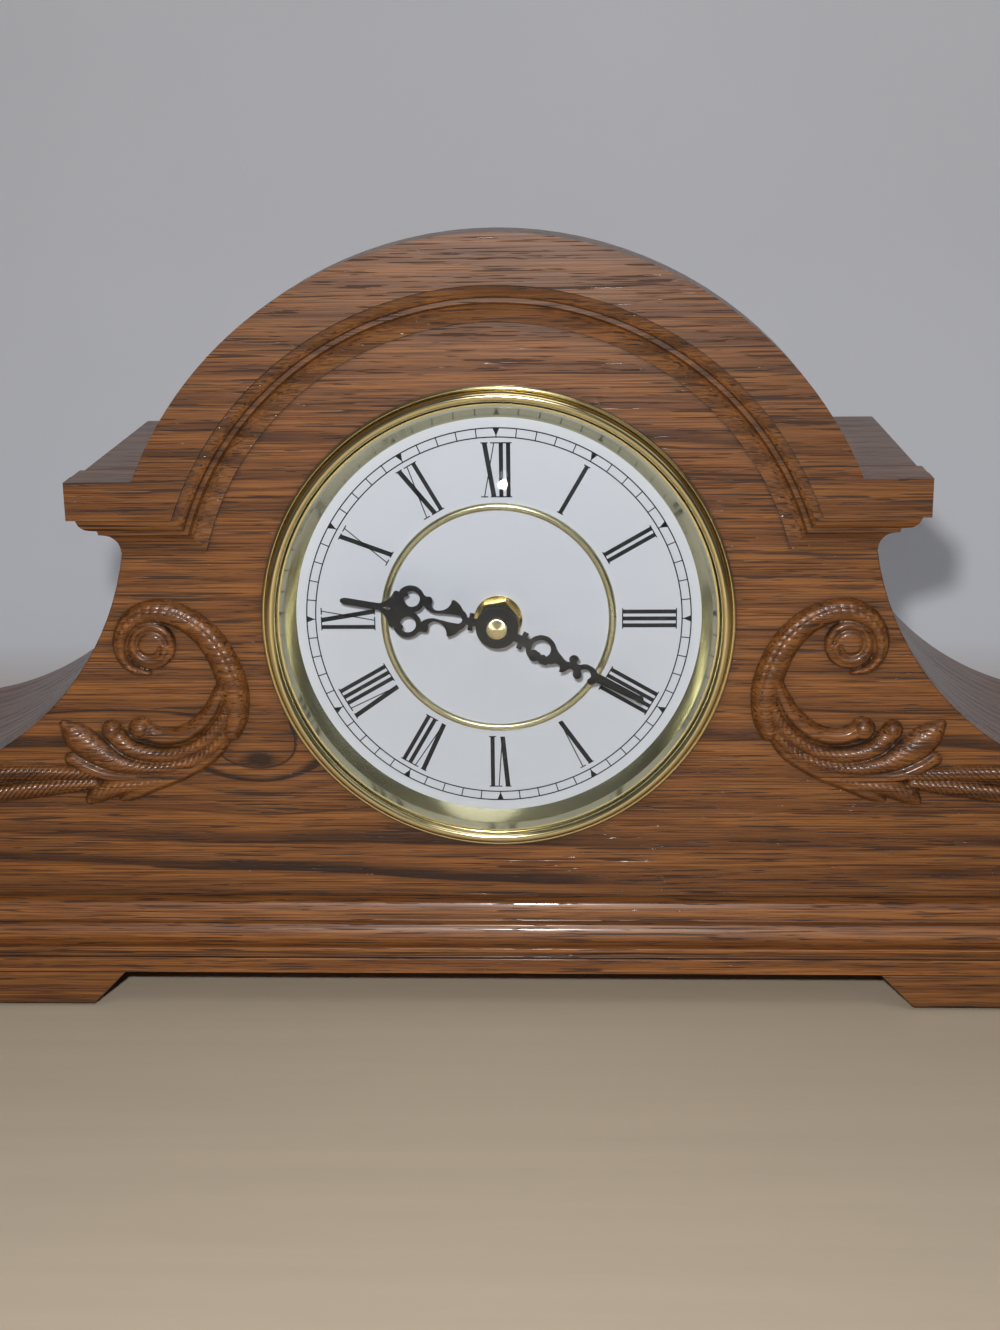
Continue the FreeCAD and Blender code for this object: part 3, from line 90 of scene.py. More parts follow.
def makeCamera(place):
    pitch, yaw, roll = (math.radians(place[key]) for key in ("pitch", "yaw", "roll"))
    ahead = Vector((math.sin(yaw) * math.cos(pitch), math.cos(yaw) * math.cos(pitch), -math.sin(pitch)))
    right = Vector((math.cos(yaw), -math.sin(yaw), 0))
    down = ahead.cross(right)
    turnedRight = right * math.cos(roll) + down * math.sin(roll)
    turnedDown = down * math.cos(roll) - right * math.sin(roll)
    data = bpy.data.cameras.new("camera")
    data.lens = place["lens"]
    data.sensor_width = place["sensor"]
    data.clip_start = place["near"]
    camera = bpy.data.objects.new("camera", data)
    scene.collection.objects.link(camera)
    turn = Matrix((turnedRight, -turnedDown, -ahead)).transposed()
    camera.matrix_world = Matrix.Translation(place["spot"]) @ turn.to_4x4()
    scene.camera = camera


makeCamera(cameraPlace)

# Stage: a painted shelf that turns up into a wall
stageLook = {
    "floor": (0.5, 0.415, 0.31, 1), "floorShade": 0.8, "wall": (0.78, 0.79, 0.84, 1), "wallShade": 0.86,
    "turnAt": 0.03, "wallGap": 0.12, "setBack": 0.01, "size": 6.0, "cove": 0.25, "coveSteps": 12,
    "roughness": 0.62, "bumpStrength": 0.25, "bumpDepth": 0.001,
}

# Lamps: one above, one from the right, the flash beside the camera, and one behind
lampSet = [
    {"name": "keyLamp", "spot": (0.12, -0.72, 1.5), "aim": (0, 0, 0.1), "size": 0.85, "power": 2.75},
    {"name": "fillLamp", "spot": (0.95, -0.95, 1.1), "aim": (0, 0, 0.1), "size": 0.9, "power": 0.9},
    {"name": "flashLamp", "spot": (-0.005, -0.7, 0.37), "aim": (0, 0, 0.12), "size": 0.024, "power": 4.0},
    {"name": "backLamp", "spot": (0.05, 1.5, 2.0), "aim": (0, 0, 0.1), "size": 0.7, "power": 11},
]


def makeStage(look):
    half, cove, steps = look["size"] / 2, look["cove"], look["coveSteps"]
    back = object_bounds()[1].y + look["wallGap"] - look["setBack"]
    rows = [(-half, 0.0), (back, 0.0)]
    for step in range(1, steps):
        turn = math.radians(90 * step / steps)
        rows.append((back + cove * math.sin(turn), cove * (1 - math.cos(turn))))
    rows.append((back + cove, half))
    mesh = bpy.data.meshes.new("stage")
    points = [(x, y, z) for y, z in rows for x in (-half, half)]
    faces = [(2 * k, 2 * k + 1, 2 * k + 3, 2 * k + 2) for k in range(len(rows) - 1)]
    mesh.from_pydata(points, [], faces)
    mesh.shade_smooth()
    stage = bpy.data.objects.new("stage", mesh)
    scene.collection.objects.link(stage)
    stage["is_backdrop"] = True
    return stage


stage = makeStage(stageLook)


def makeLamp(spec):
    data = bpy.data.lights.new(spec["name"], "AREA")
    data.shape = "DISK"
    data.size = spec["size"]
    data.energy = spec["power"]
    lamp = bpy.data.objects.new(spec["name"], data)
    lamp.location = spec["spot"]
    ray = Vector(spec["aim"]) - Vector(spec["spot"])
    lamp.rotation_euler = ray.to_track_quat("-Z", "Y").to_euler()
    scene.collection.objects.link(lamp)


for spec in lampSet:
    makeLamp(spec)
world = bpy.data.worlds.new("world")
scene.world = world
world.use_nodes = True
scene.view_settings.view_transform = "Standard"
print("camera, stage and lamps")


# Node helpers
class Tree:
    def __init__(self, tree):
        self.tree = tree

    def add(self, kind, links=None, **settings):
        node = self.tree.nodes.new(kind)
        for key, value in settings.items():
            setattr(node, key, value)
        for socket, source in (links or {}).items():
            target = node.inputs[socket]
            if isinstance(source, bpy.types.NodeSocket):
                self.tree.links.new(source, target)
            else:
                target.default_value = source
        return node

    def math(self, operation, first, second=0.0):
        return self.add("ShaderNodeMath", {0: first, 1: second}, operation=operation).outputs[0]

    def vectorMath(self, operation, first, second=(0, 0, 0), output=0):
        return self.add("ShaderNodeVectorMath", {0: first, 1: second}, operation=operation).outputs[output]

    def mix(self, factor, first, second):
        # sockets 0, 6 and 7 are the factor and the two colours
        return self.add("ShaderNodeMix", {0: factor, 6: first, 7: second}, data_type="RGBA").outputs[2]

    def blend(self, factor, first, second):
        return self.add("ShaderNodeMixShader", {0: factor, 1: first, 2: second}).outputs[0]

    def bump(self, strength, distance, height):
        return self.add("ShaderNodeBump", {"Strength": strength, "Distance": distance,
                                           "Height": height}).outputs[0]

    def shaded(self, color, value):
        return self.add("ShaderNodeHueSaturation", {"Color": color, "Value": value}).outputs[0]

    def split(self, vector):
        return self.add("ShaderNodeSeparateXYZ", {0: vector}).outputs

    def join(self, x=0.0, y=0.0, z=0.0):
        return self.add("ShaderNodeCombineXYZ", {0: x, 1: y, 2: z}).outputs[0]

    def remap(self, value, low, high, toLow=0.0, toHigh=1.0):
        return self.add("ShaderNodeMapRange", {0: value, 1: low, 2: high, 3: toLow, 4: toHigh}).outputs[0]

    def noise(self, vector, scale, detail=2.0, roughness=0.5):
        return self.add("ShaderNodeTexNoise", {"Vector": vector, "Scale": scale, "Detail": detail,
                                               "Roughness": roughness}).outputs[0]

    def scaled(self, vector, factors, shift=(0, 0, 0)):
        return self.add("ShaderNodeMapping", {"Vector": vector, "Location": shift,
                                              "Scale": factors}).outputs[0]

    def stretched(self, vector, factors, shift=(0, 0, 0), detail=2.0, roughness=0.5):
        return self.noise(self.scaled(vector, factors, shift), 1.0, detail, roughness)


def newGroup(name, inputs, outputs):
    group = bpy.data.node_groups.new(name, "ShaderNodeTree")
    for label, kind, value in inputs:
        socket = group.interface.new_socket(label, in_out="INPUT", socket_type=kind)
        if value is not None:
            socket.default_value = value
    for label, kind in outputs:
        group.interface.new_socket(label, in_out="OUTPUT", socket_type=kind)
    tree = Tree(group)
    return group, tree, tree.add("NodeGroupInput").outputs, tree.add("NodeGroupOutput").inputs


def newMaterial(name):
    # a material with its node tree, its links and its shader
    material = bpy.data.materials.new(name)
    material.use_nodes = True
    return (material, Tree(material.node_tree), material.node_tree.links.new,
            material.node_tree.nodes["Principled BSDF"])


def surfaceOf(material):
    return material.node_tree.nodes["Material Output"].inputs["Surface"]


def setInputs(shader, values):
    for label, value in values.items():
        shader.inputs[label].default_value = value


# Room around: soft bright and dim zones, so that the metal has something to mirror
roomLook = {"bright": (0.86, 0.89, 0.95, 1), "dim": (0.06, 0.055, 0.05, 1), "strength": 0.19,
            "stretch": (1.0, 1.0, 1.5), "shift": (0.3, 0.2, 0.9), "scale": 1.6, "range": (0.28, 0.72)}
roomTree = Tree(world.node_tree)
facing = roomTree.add("ShaderNodeTexCoord").outputs["Generated"]
facing = roomTree.scaled(facing, roomLook["stretch"], roomLook["shift"])
zones = roomTree.noise(facing, roomLook["scale"], 1.0, 0.4)
background = world.node_tree.nodes["Background"]
roomColor = roomTree.mix(roomTree.remap(zones, *roomLook["range"]), roomLook["dim"], roomLook["bright"])
world.node_tree.links.new(roomColor, background.inputs["Color"])
background.inputs["Strength"].default_value = roomLook["strength"]


def darker(color, share):
    return tuple(part * share for part in color[:3]) + (1,)


# Painted shelf below, matt wall behind
def makeStageLook(look):
    material, tree, link, shader = newMaterial("stagePaint")
    place = tree.add("ShaderNodeNewGeometry").outputs["Position"]
    mask = tree.remap(tree.split(place)["Z"], 0.0, look["turnAt"])
    cloud = tree.noise(place, 3.5, 3.0, 0.5)
    brush = tree.stretched(place, (4.0, 90.0, 90.0), detail=3.0, roughness=0.6)
    floorMask, wallMask = tree.remap(brush, 0.35, 0.75, 0.0, 0.3), tree.remap(cloud, 0.35, 0.7, 0.0, 0.35)
    floor = tree.mix(floorMask, look["floor"], darker(look["floor"], look["floorShade"]))
    wall = tree.mix(wallMask, look["wall"], darker(look["wall"], look["wallShade"]))
    link(tree.mix(mask, floor, wall), shader.inputs["Base Color"])
    shader.inputs["Roughness"].default_value = look["roughness"]
    grit = tree.noise(place, 60.0, 3.0, 0.5)
    link(tree.bump(look["bumpStrength"], look["bumpDepth"], grit), shader.inputs["Normal"])
    # seen from behind, the wall is clear
    behind = tree.add("ShaderNodeNewGeometry").outputs["Backfacing"]
    clear = tree.add("ShaderNodeBsdfTransparent").outputs[0]
    link(tree.blend(behind, shader.outputs[0], clear), surfaceOf(material))
    return material


stage.data.materials.append(makeStageLook(stageLook))


# Oak figure: growth rings seen along a board, fine fibres and open pores; the grain runs along the first axis
figureLook = {
    "knotShape": (0.55, 0.0, 1.0), "knotReach": 0.012, "knotPush": 0.02, "knotCore": (0.0018, 0.0046),
    "slowerWave": 2.4, "ringSlope": 0.45, "earlyEnd": 0.55, "lateStart": 0.88,
    "darkRings": (0.62, 0.86), "darkPatches": (0.42, 0.62), "darkEdge": (0.75, 1.15),
    "poreLevel": (0.7, 0.6), "poreSpan": 0.045, "longPores": (0.69, 0.73),
}


def makeOakFigure(look):
    group, tree, given, made = newGroup(
        "oakFigure",
        [("Vector", "NodeSocketVector", None), ("Ring spacing", "NodeSocketFloat", 0.011),
         ("Waviness", "NodeSocketFloat", 0.012), ("Knot", "NodeSocketVector", (9, 9, 9))],
        [("Figure", "NodeSocketFloat"), ("Dark bands", "NodeSocketFloat"), ("Fibre", "NodeSocketFloat"),
         ("Pores", "NodeSocketFloat"), ("Knot mask", "NodeSocketFloat")])
    link = group.links.new
    place = given["Vector"]
    parts = tree.split(place)
    # the knot pushes the rings aside
    away = tree.vectorMath("SUBTRACT", place, given["Knot"])
    gap = tree.vectorMath("LENGTH", tree.vectorMath("MULTIPLY", away, look["knotShape"]), output="Value")
    reach = tree.math("POWER", tree.math("DIVIDE", gap, look["knotReach"]), 2.0)
    push = tree.math("EXPONENT", tree.math("MULTIPLY", reach, -1.0))
    knotRise = tree.math("MULTIPLY", push, look["knotPush"])
    slow = tree.stretched(place, (4.2, 7.0, 11.0), detail=3.0)
    slower = tree.stretched(place, (1.6, 3.0, 5.0), (3.1, 0.7, 1.9))
    slowerWave = tree.math("MULTIPLY", tree.math("SUBTRACT", slower, 0.5), look["slowerWave"])
    wave = tree.math("ADD", tree.math("SUBTRACT", slow, 0.5), slowerWave)
    shift = tree.math("MULTIPLY", wave, given["Waviness"])
    depth = tree.math("MULTIPLY", parts["Y"], look["ringSlope"])
    height = tree.math("ADD", tree.math("ADD", parts["Z"], depth), tree.math("ADD", shift, knotRise))
    ring = tree.math("DIVIDE", height, given["Ring spacing"])
    phase = tree.math("FRACT", ring)
    # each ring goes from open early wood, dark with pores, to closed late wood
    early = tree.remap(phase, 0.0, look["earlyEnd"], 1.0, 0.0)
    edge = tree.remap(phase, look["lateStart"], 1.0)
    figure = tree.math("MAXIMUM", early, edge)
    link(figure, made["Figure"])
    # a few rings are much darker than the rest
    number = tree.math("FLOOR", ring)
    pick = tree.add("ShaderNodeTexWhiteNoise", {"W": number}, noise_dimensions="1D").outputs["Value"]
    chosen = tree.remap(pick, *look["darkRings"])
    patches = tree.stretched(place, (9.0, 12.0, 24.0), (5.2, 1.1, 0.3), 3.0, 0.55)
    chosen = tree.math("MULTIPLY", chosen, tree.remap(patches, *look["darkPatches"]))
    ragged = tree.stretched(place, (30.0, 300.0, 700.0), detail=4.0, roughness=0.65)
    torn = tree.remap(tree.math("ADD", figure, ragged), *look["darkEdge"])
    link(tree.math("MULTIPLY", chosen, torn), made["Dark bands"])
    link(tree.stretched(place, (30.0, 1300.0, 2100.0), detail=5.0, roughness=0.62), made["Fibre"])
    # pores are short dark dashes along the grain, crowded in the early wood
    dashes = tree.stretched(place, (84.0, 1500.0, 2500.0), (0.4, 2.0, 3.0), 1.0)
    longDashes = tree.stretched(place, (40.0, 900.0, 1500.0), (7.4, 1.0, 6.0), 0.0)
    level = tree.remap(early, 0.0, 1.0, *look["poreLevel"])
    short = tree.remap(dashes, level, tree.math("ADD", level, look["poreSpan"]))
    link(tree.math("MAXIMUM", short, tree.remap(longDashes, *look["longPores"])), made["Pores"])
    link(tree.remap(gap, *look["knotCore"], 1.0, 0.0), made["Knot mask"])
    return group


oakFigure = makeOakFigure(figureLook)

# Colours, painted crease shade and lacquer that all the oak shares
oakLook = {
    "pale": (0.262, 0.099, 0.0235, 1), "honey": (0.158, 0.056, 0.0128, 1), "brown": (0.08, 0.0258, 0.0063, 1),
    "dark": (0.025, 0.0085, 0.0029, 1), "pore": (0.02, 0.0068, 0.0026, 1),
    "blotch": 0.8, "honeyRange": (0.25, 1.25), "brownRange": (0.4, 0.62), "bandShare": 0.9, "poreShare": 0.82,
    "specular": 0.36, "roughness": 0.4, "poreRoughness": 0.6, "coat": 0.24, "coatRoughness": 0.12,
    # painted shade in the creases: how far it looks, how dark it gets, and the range it works over
    "creaseReach": 0.006, "creaseShade": 0.14, "creaseRange": (0.35, 0.95),
    "swell": 0.35, "fibreDepth": 0.25, "bumpStrength": 0.55, "bumpDepth": 0.00022,
    "coatBumpStrength": 0.4, "coatBumpDepth": 0.00014,
}
farAway = (9, 9, 9)


def sweepAlong(tree, place, middle, height, radius):
    # a bent board: the grain follows the arc about a point at this distance from the middle, and this height
    parts = tree.split(place)
    across = tree.math("SUBTRACT", tree.math("ABSOLUTE", parts["X"]), middle)
    up = tree.math("SUBTRACT", parts["Z"], height)
    along = tree.math("MULTIPLY", tree.math("ARCTAN2", up, across), radius)
    squares = tree.math("ADD", tree.math("MULTIPLY", across, across), tree.math("MULTIPLY", up, up))
    return tree.join(along, tree.math("SQRT", squares), parts["Y"])


def makeOak(name, turn=(0, 0, 0), shift=(0, 0, 0), spacing=0.011, waviness=0.012, knot=farAway, tone=1.0,
            darkness=1.0, relief=1.0, sweep=None, look=oakLook):
    material, tree, link, shader = newMaterial(name)
    place = tree.add("ShaderNodeTexCoord").outputs["Object"]
    if sweep:
        place = sweepAlong(tree, place, *sweep)
    angles = tuple(math.radians(part) for part in turn)
    board = tree.add("ShaderNodeMapping", {"Vector": place, "Location": shift, "Rotation": angles}).outputs[0]
    figure = tree.add("ShaderNodeGroup", {}, node_tree=oakFigure)
    link(board, figure.inputs["Vector"])
    setInputs(figure, {"Ring spacing": spacing, "Waviness": waviness, "Knot": knot})
    out = figure.outputs
    blotch = tree.math("MULTIPLY", tree.stretched(board, (7.0, 9.0, 16.0), (2.2, 4.0, 1.0)), look["blotch"])
    light = tree.remap(tree.math("ADD", out["Figure"], blotch), *look["honeyRange"])
    base = tree.mix(light, look["pale"], look["honey"])
    base = tree.mix(tree.remap(out["Fibre"], *look["brownRange"]), base, look["brown"])
    base = tree.mix(tree.math("MULTIPLY", out["Dark bands"], look["bandShare"] * darkness), base, look["dark"])
    base = tree.mix(out["Knot mask"], base, look["dark"])
    base = tree.mix(tree.math("MULTIPLY", out["Pores"], look["poreShare"]), base, look["pore"])
    # painted shade: the colour is darkened in the creases, where shade falls
    creaseOcclusion = tree.add("ShaderNodeAmbientOcclusion", {"Distance": look["creaseReach"]}, samples=8).outputs["AO"]
    shade = tree.remap(creaseOcclusion, *look["creaseRange"], look["creaseShade"], 1.0)
    link(tree.shaded(base, tree.math("MULTIPLY", shade, tone)), shader.inputs["Base Color"])
    roughness = tree.remap(out["Pores"], 0.0, 1.0, look["roughness"], look["poreRoughness"])
    link(roughness, shader.inputs["Roughness"])
    setInputs(shader, {"Specular IOR Level": look["specular"], "Coat Weight": look["coat"],
                       "Coat Roughness": look["coatRoughness"]})
    swell = tree.stretched(board, (60.0, 90.0, 140.0))
    cut = tree.math("ADD", out["Pores"], tree.math("MULTIPLY", out["Fibre"], look["fibreDepth"]))
    height = tree.math("SUBTRACT", tree.math("MULTIPLY", swell, look["swell"]), cut)
    link(tree.bump(look["bumpStrength"], look["bumpDepth"] * relief, height), shader.inputs["Normal"])
    coatHeight = tree.math("SUBTRACT", swell, out["Pores"])
    coatBump = tree.bump(look["coatBumpStrength"], look["coatBumpDepth"] * relief, coatHeight)
    link(coatBump, shader.inputs["Coat Normal"])
    return material


def dress(names, material):
    for name in names:
        data = nodeOf[name].data
        data.materials.clear()
        data.materials.append(material)


# Helpers for pieces
bodyOf = {name: body for body, names in frame["record"]["behaviour"]["bodies"].items() for name in names}


def addPiece(name, mesh, material, node=None, rider=None, slot=None):
    # a piece that stands for its node, or one that only rides with a node
    piece = bpy.data.objects.new(name, mesh)
    scene.collection.objects.link(piece)
    mesh.materials.clear()
    mesh.materials.append(material)
    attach(piece, bodyOf[node or rider])
    if node:
        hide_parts(node)


def joinedShape(mesh, gap):
    # an editable copy of a mesh whose points closer than the gap are one
    shape = bmesh.new()
    shape.from_mesh(mesh)
    bmesh.ops.remove_doubles(shape, verts=shape.verts, dist=gap)
    return shape


def writeBack(shape, mesh):
    bmesh.ops.recalc_face_normals(shape, faces=shape.faces)
    shape.to_mesh(mesh)
    shape.free()


def plainMesh(name, points, faces):
    mesh = bpy.data.meshes.new(name)
    mesh.from_pydata(points, [], faces)
    mesh.update()
    return mesh


def smoothMesh(name, points, faces, sharpAngle=35):
    mesh = plainMesh(name, points, faces)
    mesh.validate()
    shape = bmesh.new()
    shape.from_mesh(mesh)
    writeBack(shape, mesh)
    mesh.shade_smooth()
    mesh.set_sharp_from_angle(angle=math.radians(sharpAngle))
    return mesh


def latheMesh(name, profile, steps=192, closed=True, sharpAngle=35):
    # the profile is (depth along Y, radius) in metres, turned about the axis of the dial
    points, faces, rows = [], [], []
    for depth, radius in profile:
        if radius < pointRadius:
            rows.append([len(points)])
            points.append((0.0, depth, dialAxis))
            continue
        rows.append(list(range(len(points), len(points) + steps)))
        for step in range(steps):
            turn = 2 * math.pi * step / steps
            points.append((radius * math.sin(turn), depth, dialAxis + radius * math.cos(turn)))
    pairs = list(zip(rows, rows[1:])) + ([(rows[-1], rows[0])] if closed else [])
    for first, second in pairs:
        if len(first) == 1 and len(second) == 1:
            continue
        for step in range(steps):
            follow = (step + 1) % steps
            if len(first) == 1:
                faces.append((first[0], second[step], second[follow]))
            elif len(second) == 1:
                faces.append((first[step], second[0], first[follow]))
            else:
                faces.append((first[step], second[step], second[follow], first[follow]))
    return smoothMesh(name, points, faces, sharpAngle)


def pieceName(node, ending):
    first, *rest = node.split("_")
    return first + "".join(word.capitalize() for word in rest) + ending


# Softened edges: the segments of an edge, the angle that makes one, the angle below which two faces count
# as one, and how much the wide faces outweigh the narrow ones
softLook = {"segments": 2, "edgeAngle": 30, "flatAngle": 0.6, "wideWeight": 100}


def soften(node, width, material, look=softLook):
    # a copy of the node's mesh with its edges softened stands for the node
    name = pieceName(node, "Soft")
    shape = joinedShape(nodeOf[node].data, joinGap)
    bmesh.ops.dissolve_limit(shape, angle_limit=math.radians(look["flatAngle"]), verts=shape.verts,
                             edges=shape.edges)
    mesh = bpy.data.meshes.new(name)
    shape.to_mesh(mesh)
    shape.free()
    mesh.shade_smooth()
    carrier = bpy.data.objects.new("carrier", mesh)
    scene.collection.objects.link(carrier)
    edge = carrier.modifiers.new("edge", "BEVEL")
    edge.width = width
    edge.segments = look["segments"]
    edge.limit_method = "ANGLE"
    edge.angle_limit = math.radians(look["edgeAngle"])
    edge.use_clamp_overlap = True
    # the wide faces keep their own normal, and the soft edges turn from one to the next
    level = carrier.modifiers.new("level", "WEIGHTED_NORMAL")
    level.mode = "FACE_AREA"
    level.weight = look["wideWeight"]
    graph = bpy.context.evaluated_depsgraph_get()
    done = bpy.data.meshes.new_from_object(carrier.evaluated_get(graph))
    bpy.data.objects.remove(carrier)
    bpy.data.meshes.remove(mesh)
    done.name = name
    addPiece(name, done, material, node=node)


# The grain runs along X in the front pieces and along Y in what runs to the back
curveMiddle, curveRise, curveRadius = 0.221, 0.0399, 0.0985
panelOak = makeOak("panelOak", knot=(-0.0815, -0.05, 0.0845), spacing=0.0115, waviness=0.019, darkness=1.1,
                   tone=1.08)
hoodOak = makeOak("hoodOak", shift=(0.31, 0.2, 0.413), spacing=0.009, waviness=0.006, darkness=0.6, tone=0.92)
baseOak = makeOak("baseOak", shift=(0.7, 0.1, 0.907), spacing=0.0075, waviness=0.005, darkness=0.45, tone=1.3)
footOak = makeOak("footOak", shift=(1.7, 0.4, 0.307), spacing=0.0075, waviness=0.004, darkness=0.4, tone=1.05)
sideOak = makeOak("sideOak", turn=(0, 0, 90), shift=(0.2, 0.5, 0.11), spacing=0.009, waviness=0.006)
ledgeOak = makeOak("ledgeOak", turn=(90, 0, 0), shift=(0.9, 0.3, 0.6), spacing=0.012, waviness=0.012)
bentOak = makeOak("bentOak", shift=(0.4, 0.5, 0.71), spacing=0.009, waviness=0.006,
                  sweep=(curveMiddle, dialAxis + curveRise, curveRadius))
carvedOak = makeOak("carvedOak", shift=(0.12, 0.0, 0.55), spacing=0.008, waviness=0.006, darkness=0.2,
                    tone=1.05, relief=0.8)
# Each piece's wood and the width of its soft edge in millimetres
woodEdges = {
    "front_panel": (panelOak, 0.5), "arched_hood": (hoodOak, 0.45), "base_moulding_front": (baseOak, 0.35),
    "foot_front_right": (footOak, 0.6), "foot_front_left": (footOak, 0.6),
    "foot_back_right": (footOak, 0.6), "foot_back_left": (footOak, 0.6),
    "base_moulding_right": (sideOak, 0.35), "base_moulding_left": (sideOak, 0.35),
    "cornice_right": (sideOak, 0.4), "cornice_left": (sideOak, 0.4), "ledge_board": (ledgeOak, 0.8),
    "end_board_right": (sideOak, 0.3), "end_board_left": (sideOak, 0.3),
    "curved_side_right": (bentOak, 0.3), "curved_side_left": (bentOak, 0.3),
}
for node, (material, width) in woodEdges.items():
    soften(node, width * mm, material)
print("oak case")

# Scroll carving. Each strand is a line of (across from the middle, rise from the dial's axis, half width) in
# millimetres for the right-hand side, with the height of its crown and the kind of cuts along it.
# The field is where the carving can be; what falls past a strand's edge falls by the slope. The cuts across the
# big scroll begin after a way along it, and a groove runs along its outer side.
carving = {
    "cell": 0.42, "left": 82.0, "low": -71.0, "width": 128, "height": 81.5, "sink": 0.3, "valley": 0.3,
    "slope": 1.6, "margin": 1.0, "least": 0.3, "kept": -0.05,
    "crownStart": 0.35, "crownByWidth": 0.22, "tipStart": 0.75, "tipByLength": 0.06,
    "cutStart": 14.0, "cutFade": 8.0, "crossSlant": 1.2, "innerSide": 0.9,
    "grooveDepth": 0.5, "groovePlace": 0.42, "grooveWidth": 0.1,
    "veinSlant": 0.96, "veinShare": 0.55, "veinPower": 1.4, "alongDepth": 0.1, "alongTurns": 1.5,
}
strands = [
    {"crown": 3.8, "cuts": ("cross", 2.7, 0.06), "line": [
        (90.4, -38.0, 3.2), (88.9, -32.0, 4.4), (89.0, -23.0, 5.0), (91.7, -13.6, 4.9), (96.5, -5.2, 4.6),
        (102.4, 0.3, 4.3), (109.4, 3.6, 4.1), (116.4, 3.9, 3.8), (122.4, 0.8, 3.3), (125.8, -4.9, 2.8),
        (125.8, -11.1, 2.3), (122.6, -15.5, 1.8), (117.4, -17.2, 1.1)]},
    {"crown": 3.1, "cuts": ("along", 0, 0), "line": [
        (92.6, -22.1, 2.4), (97.4, -31.3, 2.9), (105.0, -38.0, 3.1), (113.4, -39.7, 3.1), (119.4, -37.6, 3.3),
        (120.6, -35.6, 3.0)]},
    {"crown": 3.2, "cuts": ("slant", 2.3, 0.12), "line": [
        (89.7, -24.1, 2.6), (93.6, -34.2, 2.8), (101.7, -42.4, 2.9), (112.7, -46.2, 3.0), (123.4, -44.6, 3.2),
        (129.2, -40.1, 3.6), (130.8, -36.9, 3.0)]},
    {"crown": 3.3, "cuts": ("slant", 2.2, 0.15), "line": [
        (88.4, -27.0, 2.4), (91.7, -37.1, 2.5), (100.9, -46.4, 2.5), (114.8, -50.7, 2.7), (127.5, -49.8, 3.3),
        (136.7, -45.2, 4.9), (142.4, -40.4, 5.0), (147.4, -35.4, 1.6)]},
    {"crown": 2.8, "cuts": ("along", 0, 0), "line": [
        (89.1, -32.0, 2.0), (93.9, -41.2, 2.3), (105.0, -49.5, 2.4), (118.9, -53.9, 2.4), (132.5, -53.7, 2.5),
        (140.3, -50.9, 2.7), (145.6, -47.8, 2.6)]},
    {"crown": 2.6, "cuts": ("along", 0, 0), "line": [
        (90.2, -36.1, 1.8), (96.0, -45.2, 2.2), (107.1, -52.5, 2.4), (118.0, -57.0, 2.5), (125.2, -60.2, 2.4),
        (129.2, -62.0, 1.1)]},
    {"crown": 2.9, "cuts": ("slant", 2.4, 0.12), "line": [
        (107.0, -52.0, 1.6), (118.9, -56.1, 2.3), (130.8, -58.0, 3.2), (137.2, -60.2, 3.3),
        (140.6, -62.6, 1.4)]},
    {"crown": 3.0, "cuts": ("slant", 2.0, 0.3), "line": [
        (136.9, -53.4, 1.9), (146.2, -53.0, 2.5), (158.0, -52.7, 3.0), (170.0, -53.2, 3.1), (184.0, -57.0, 2.6),
        (198.0, -62.9, 1.7), (207.0, -67.4, 0.7)]},
    {"crown": 3.0, "cuts": ("slant", 2.0, 0.3), "line": [
        (138.5, -56.3, 2.0), (146.4, -57.2, 2.7), (158.2, -58.6, 3.2), (169.3, -60.0, 3.2), (184.0, -63.0, 2.5),
        (197.0, -66.4, 1.5), (205.0, -68.3, 0.7)]},
]

# Round bosses: across, rise, radius, crown, and the radius of a spiral ridge on it
domes = [(116.0, -7.4, 8.3, 2.5, 6.2), (121.6, -37.0, 3.8, 3.6, 0), (131.2, -37.4, 3.4, 3.5, 0)]
spiral = {"growth": 0.35, "ridge": 0.5, "ridgeWidth": 0.85, "groove": 0.8, "grooveBack": 1.9,
          "grooveWidth": 0.7, "base": 0.42}


def mirrored(point, other):
    return tuple(2 * a - b for a, b in zip(point, other))


def curvePoints(line, least, spacing=0.7):
    # a smooth run through the given points, with its length so far
    ends = [mirrored(line[0], line[1])] + line + [mirrored(line[-1], line[-2])]
    run, length = [], 0.0
    for index in range(1, len(ends) - 2):
        p0, p1, p2, p3 = ends[index - 1:index + 3]
        count = max(2, int(math.dist(p1[:2], p2[:2]) / spacing))
        for step in range(count + (index == len(ends) - 3)):
            t = step / count
            point = tuple(0.5 * (2 * b + (c - a) * t + (2 * a - 5 * b + 4 * c - d) * t * t
                                 + (3 * b - a - 3 * c + d) * t * t * t) for a, b, c, d in zip(p0, p1, p2, p3))
            length += math.dist(run[-1][:2], point[:2]) if run else 0.0
            run.append((point[0], point[1], max(point[2], least), length))
    return run


def limited(value):
    return min(1.0, max(0.0, value))


def bell(value, width):
    return math.exp(-(value / width) ** 2)


def strandPoints(run, around, margin):
    # the field's points near a run: share of the half width, way along, signed share of the width, half width
    near = {}
    for (x1, z1, w1, s1), (x2, z2, w2, s2) in zip(run, run[1:]):
        span = max(math.hypot(x2 - x1, z2 - z1), joinGap)
        ux, uz = (x2 - x1) / span, (z2 - z1) / span
        for spot, x, z in around((x1 + x2) / 2, (z1 + z2) / 2, max(w1, w2) + margin):
            along = min(max((x - x1) * ux + (z - z1) * uz, 0.0), span)
            side = (z - z1) * ux - (x - x1) * uz
            gap = math.hypot(x - x1 - ux * along, z - z1 - uz * along)
            width = w1 + (w2 - w1) * along / span
            if spot not in near or gap / width < near[spot][0]:
                near[spot] = (gap / width, s1 + along, side / width, width)
    return near


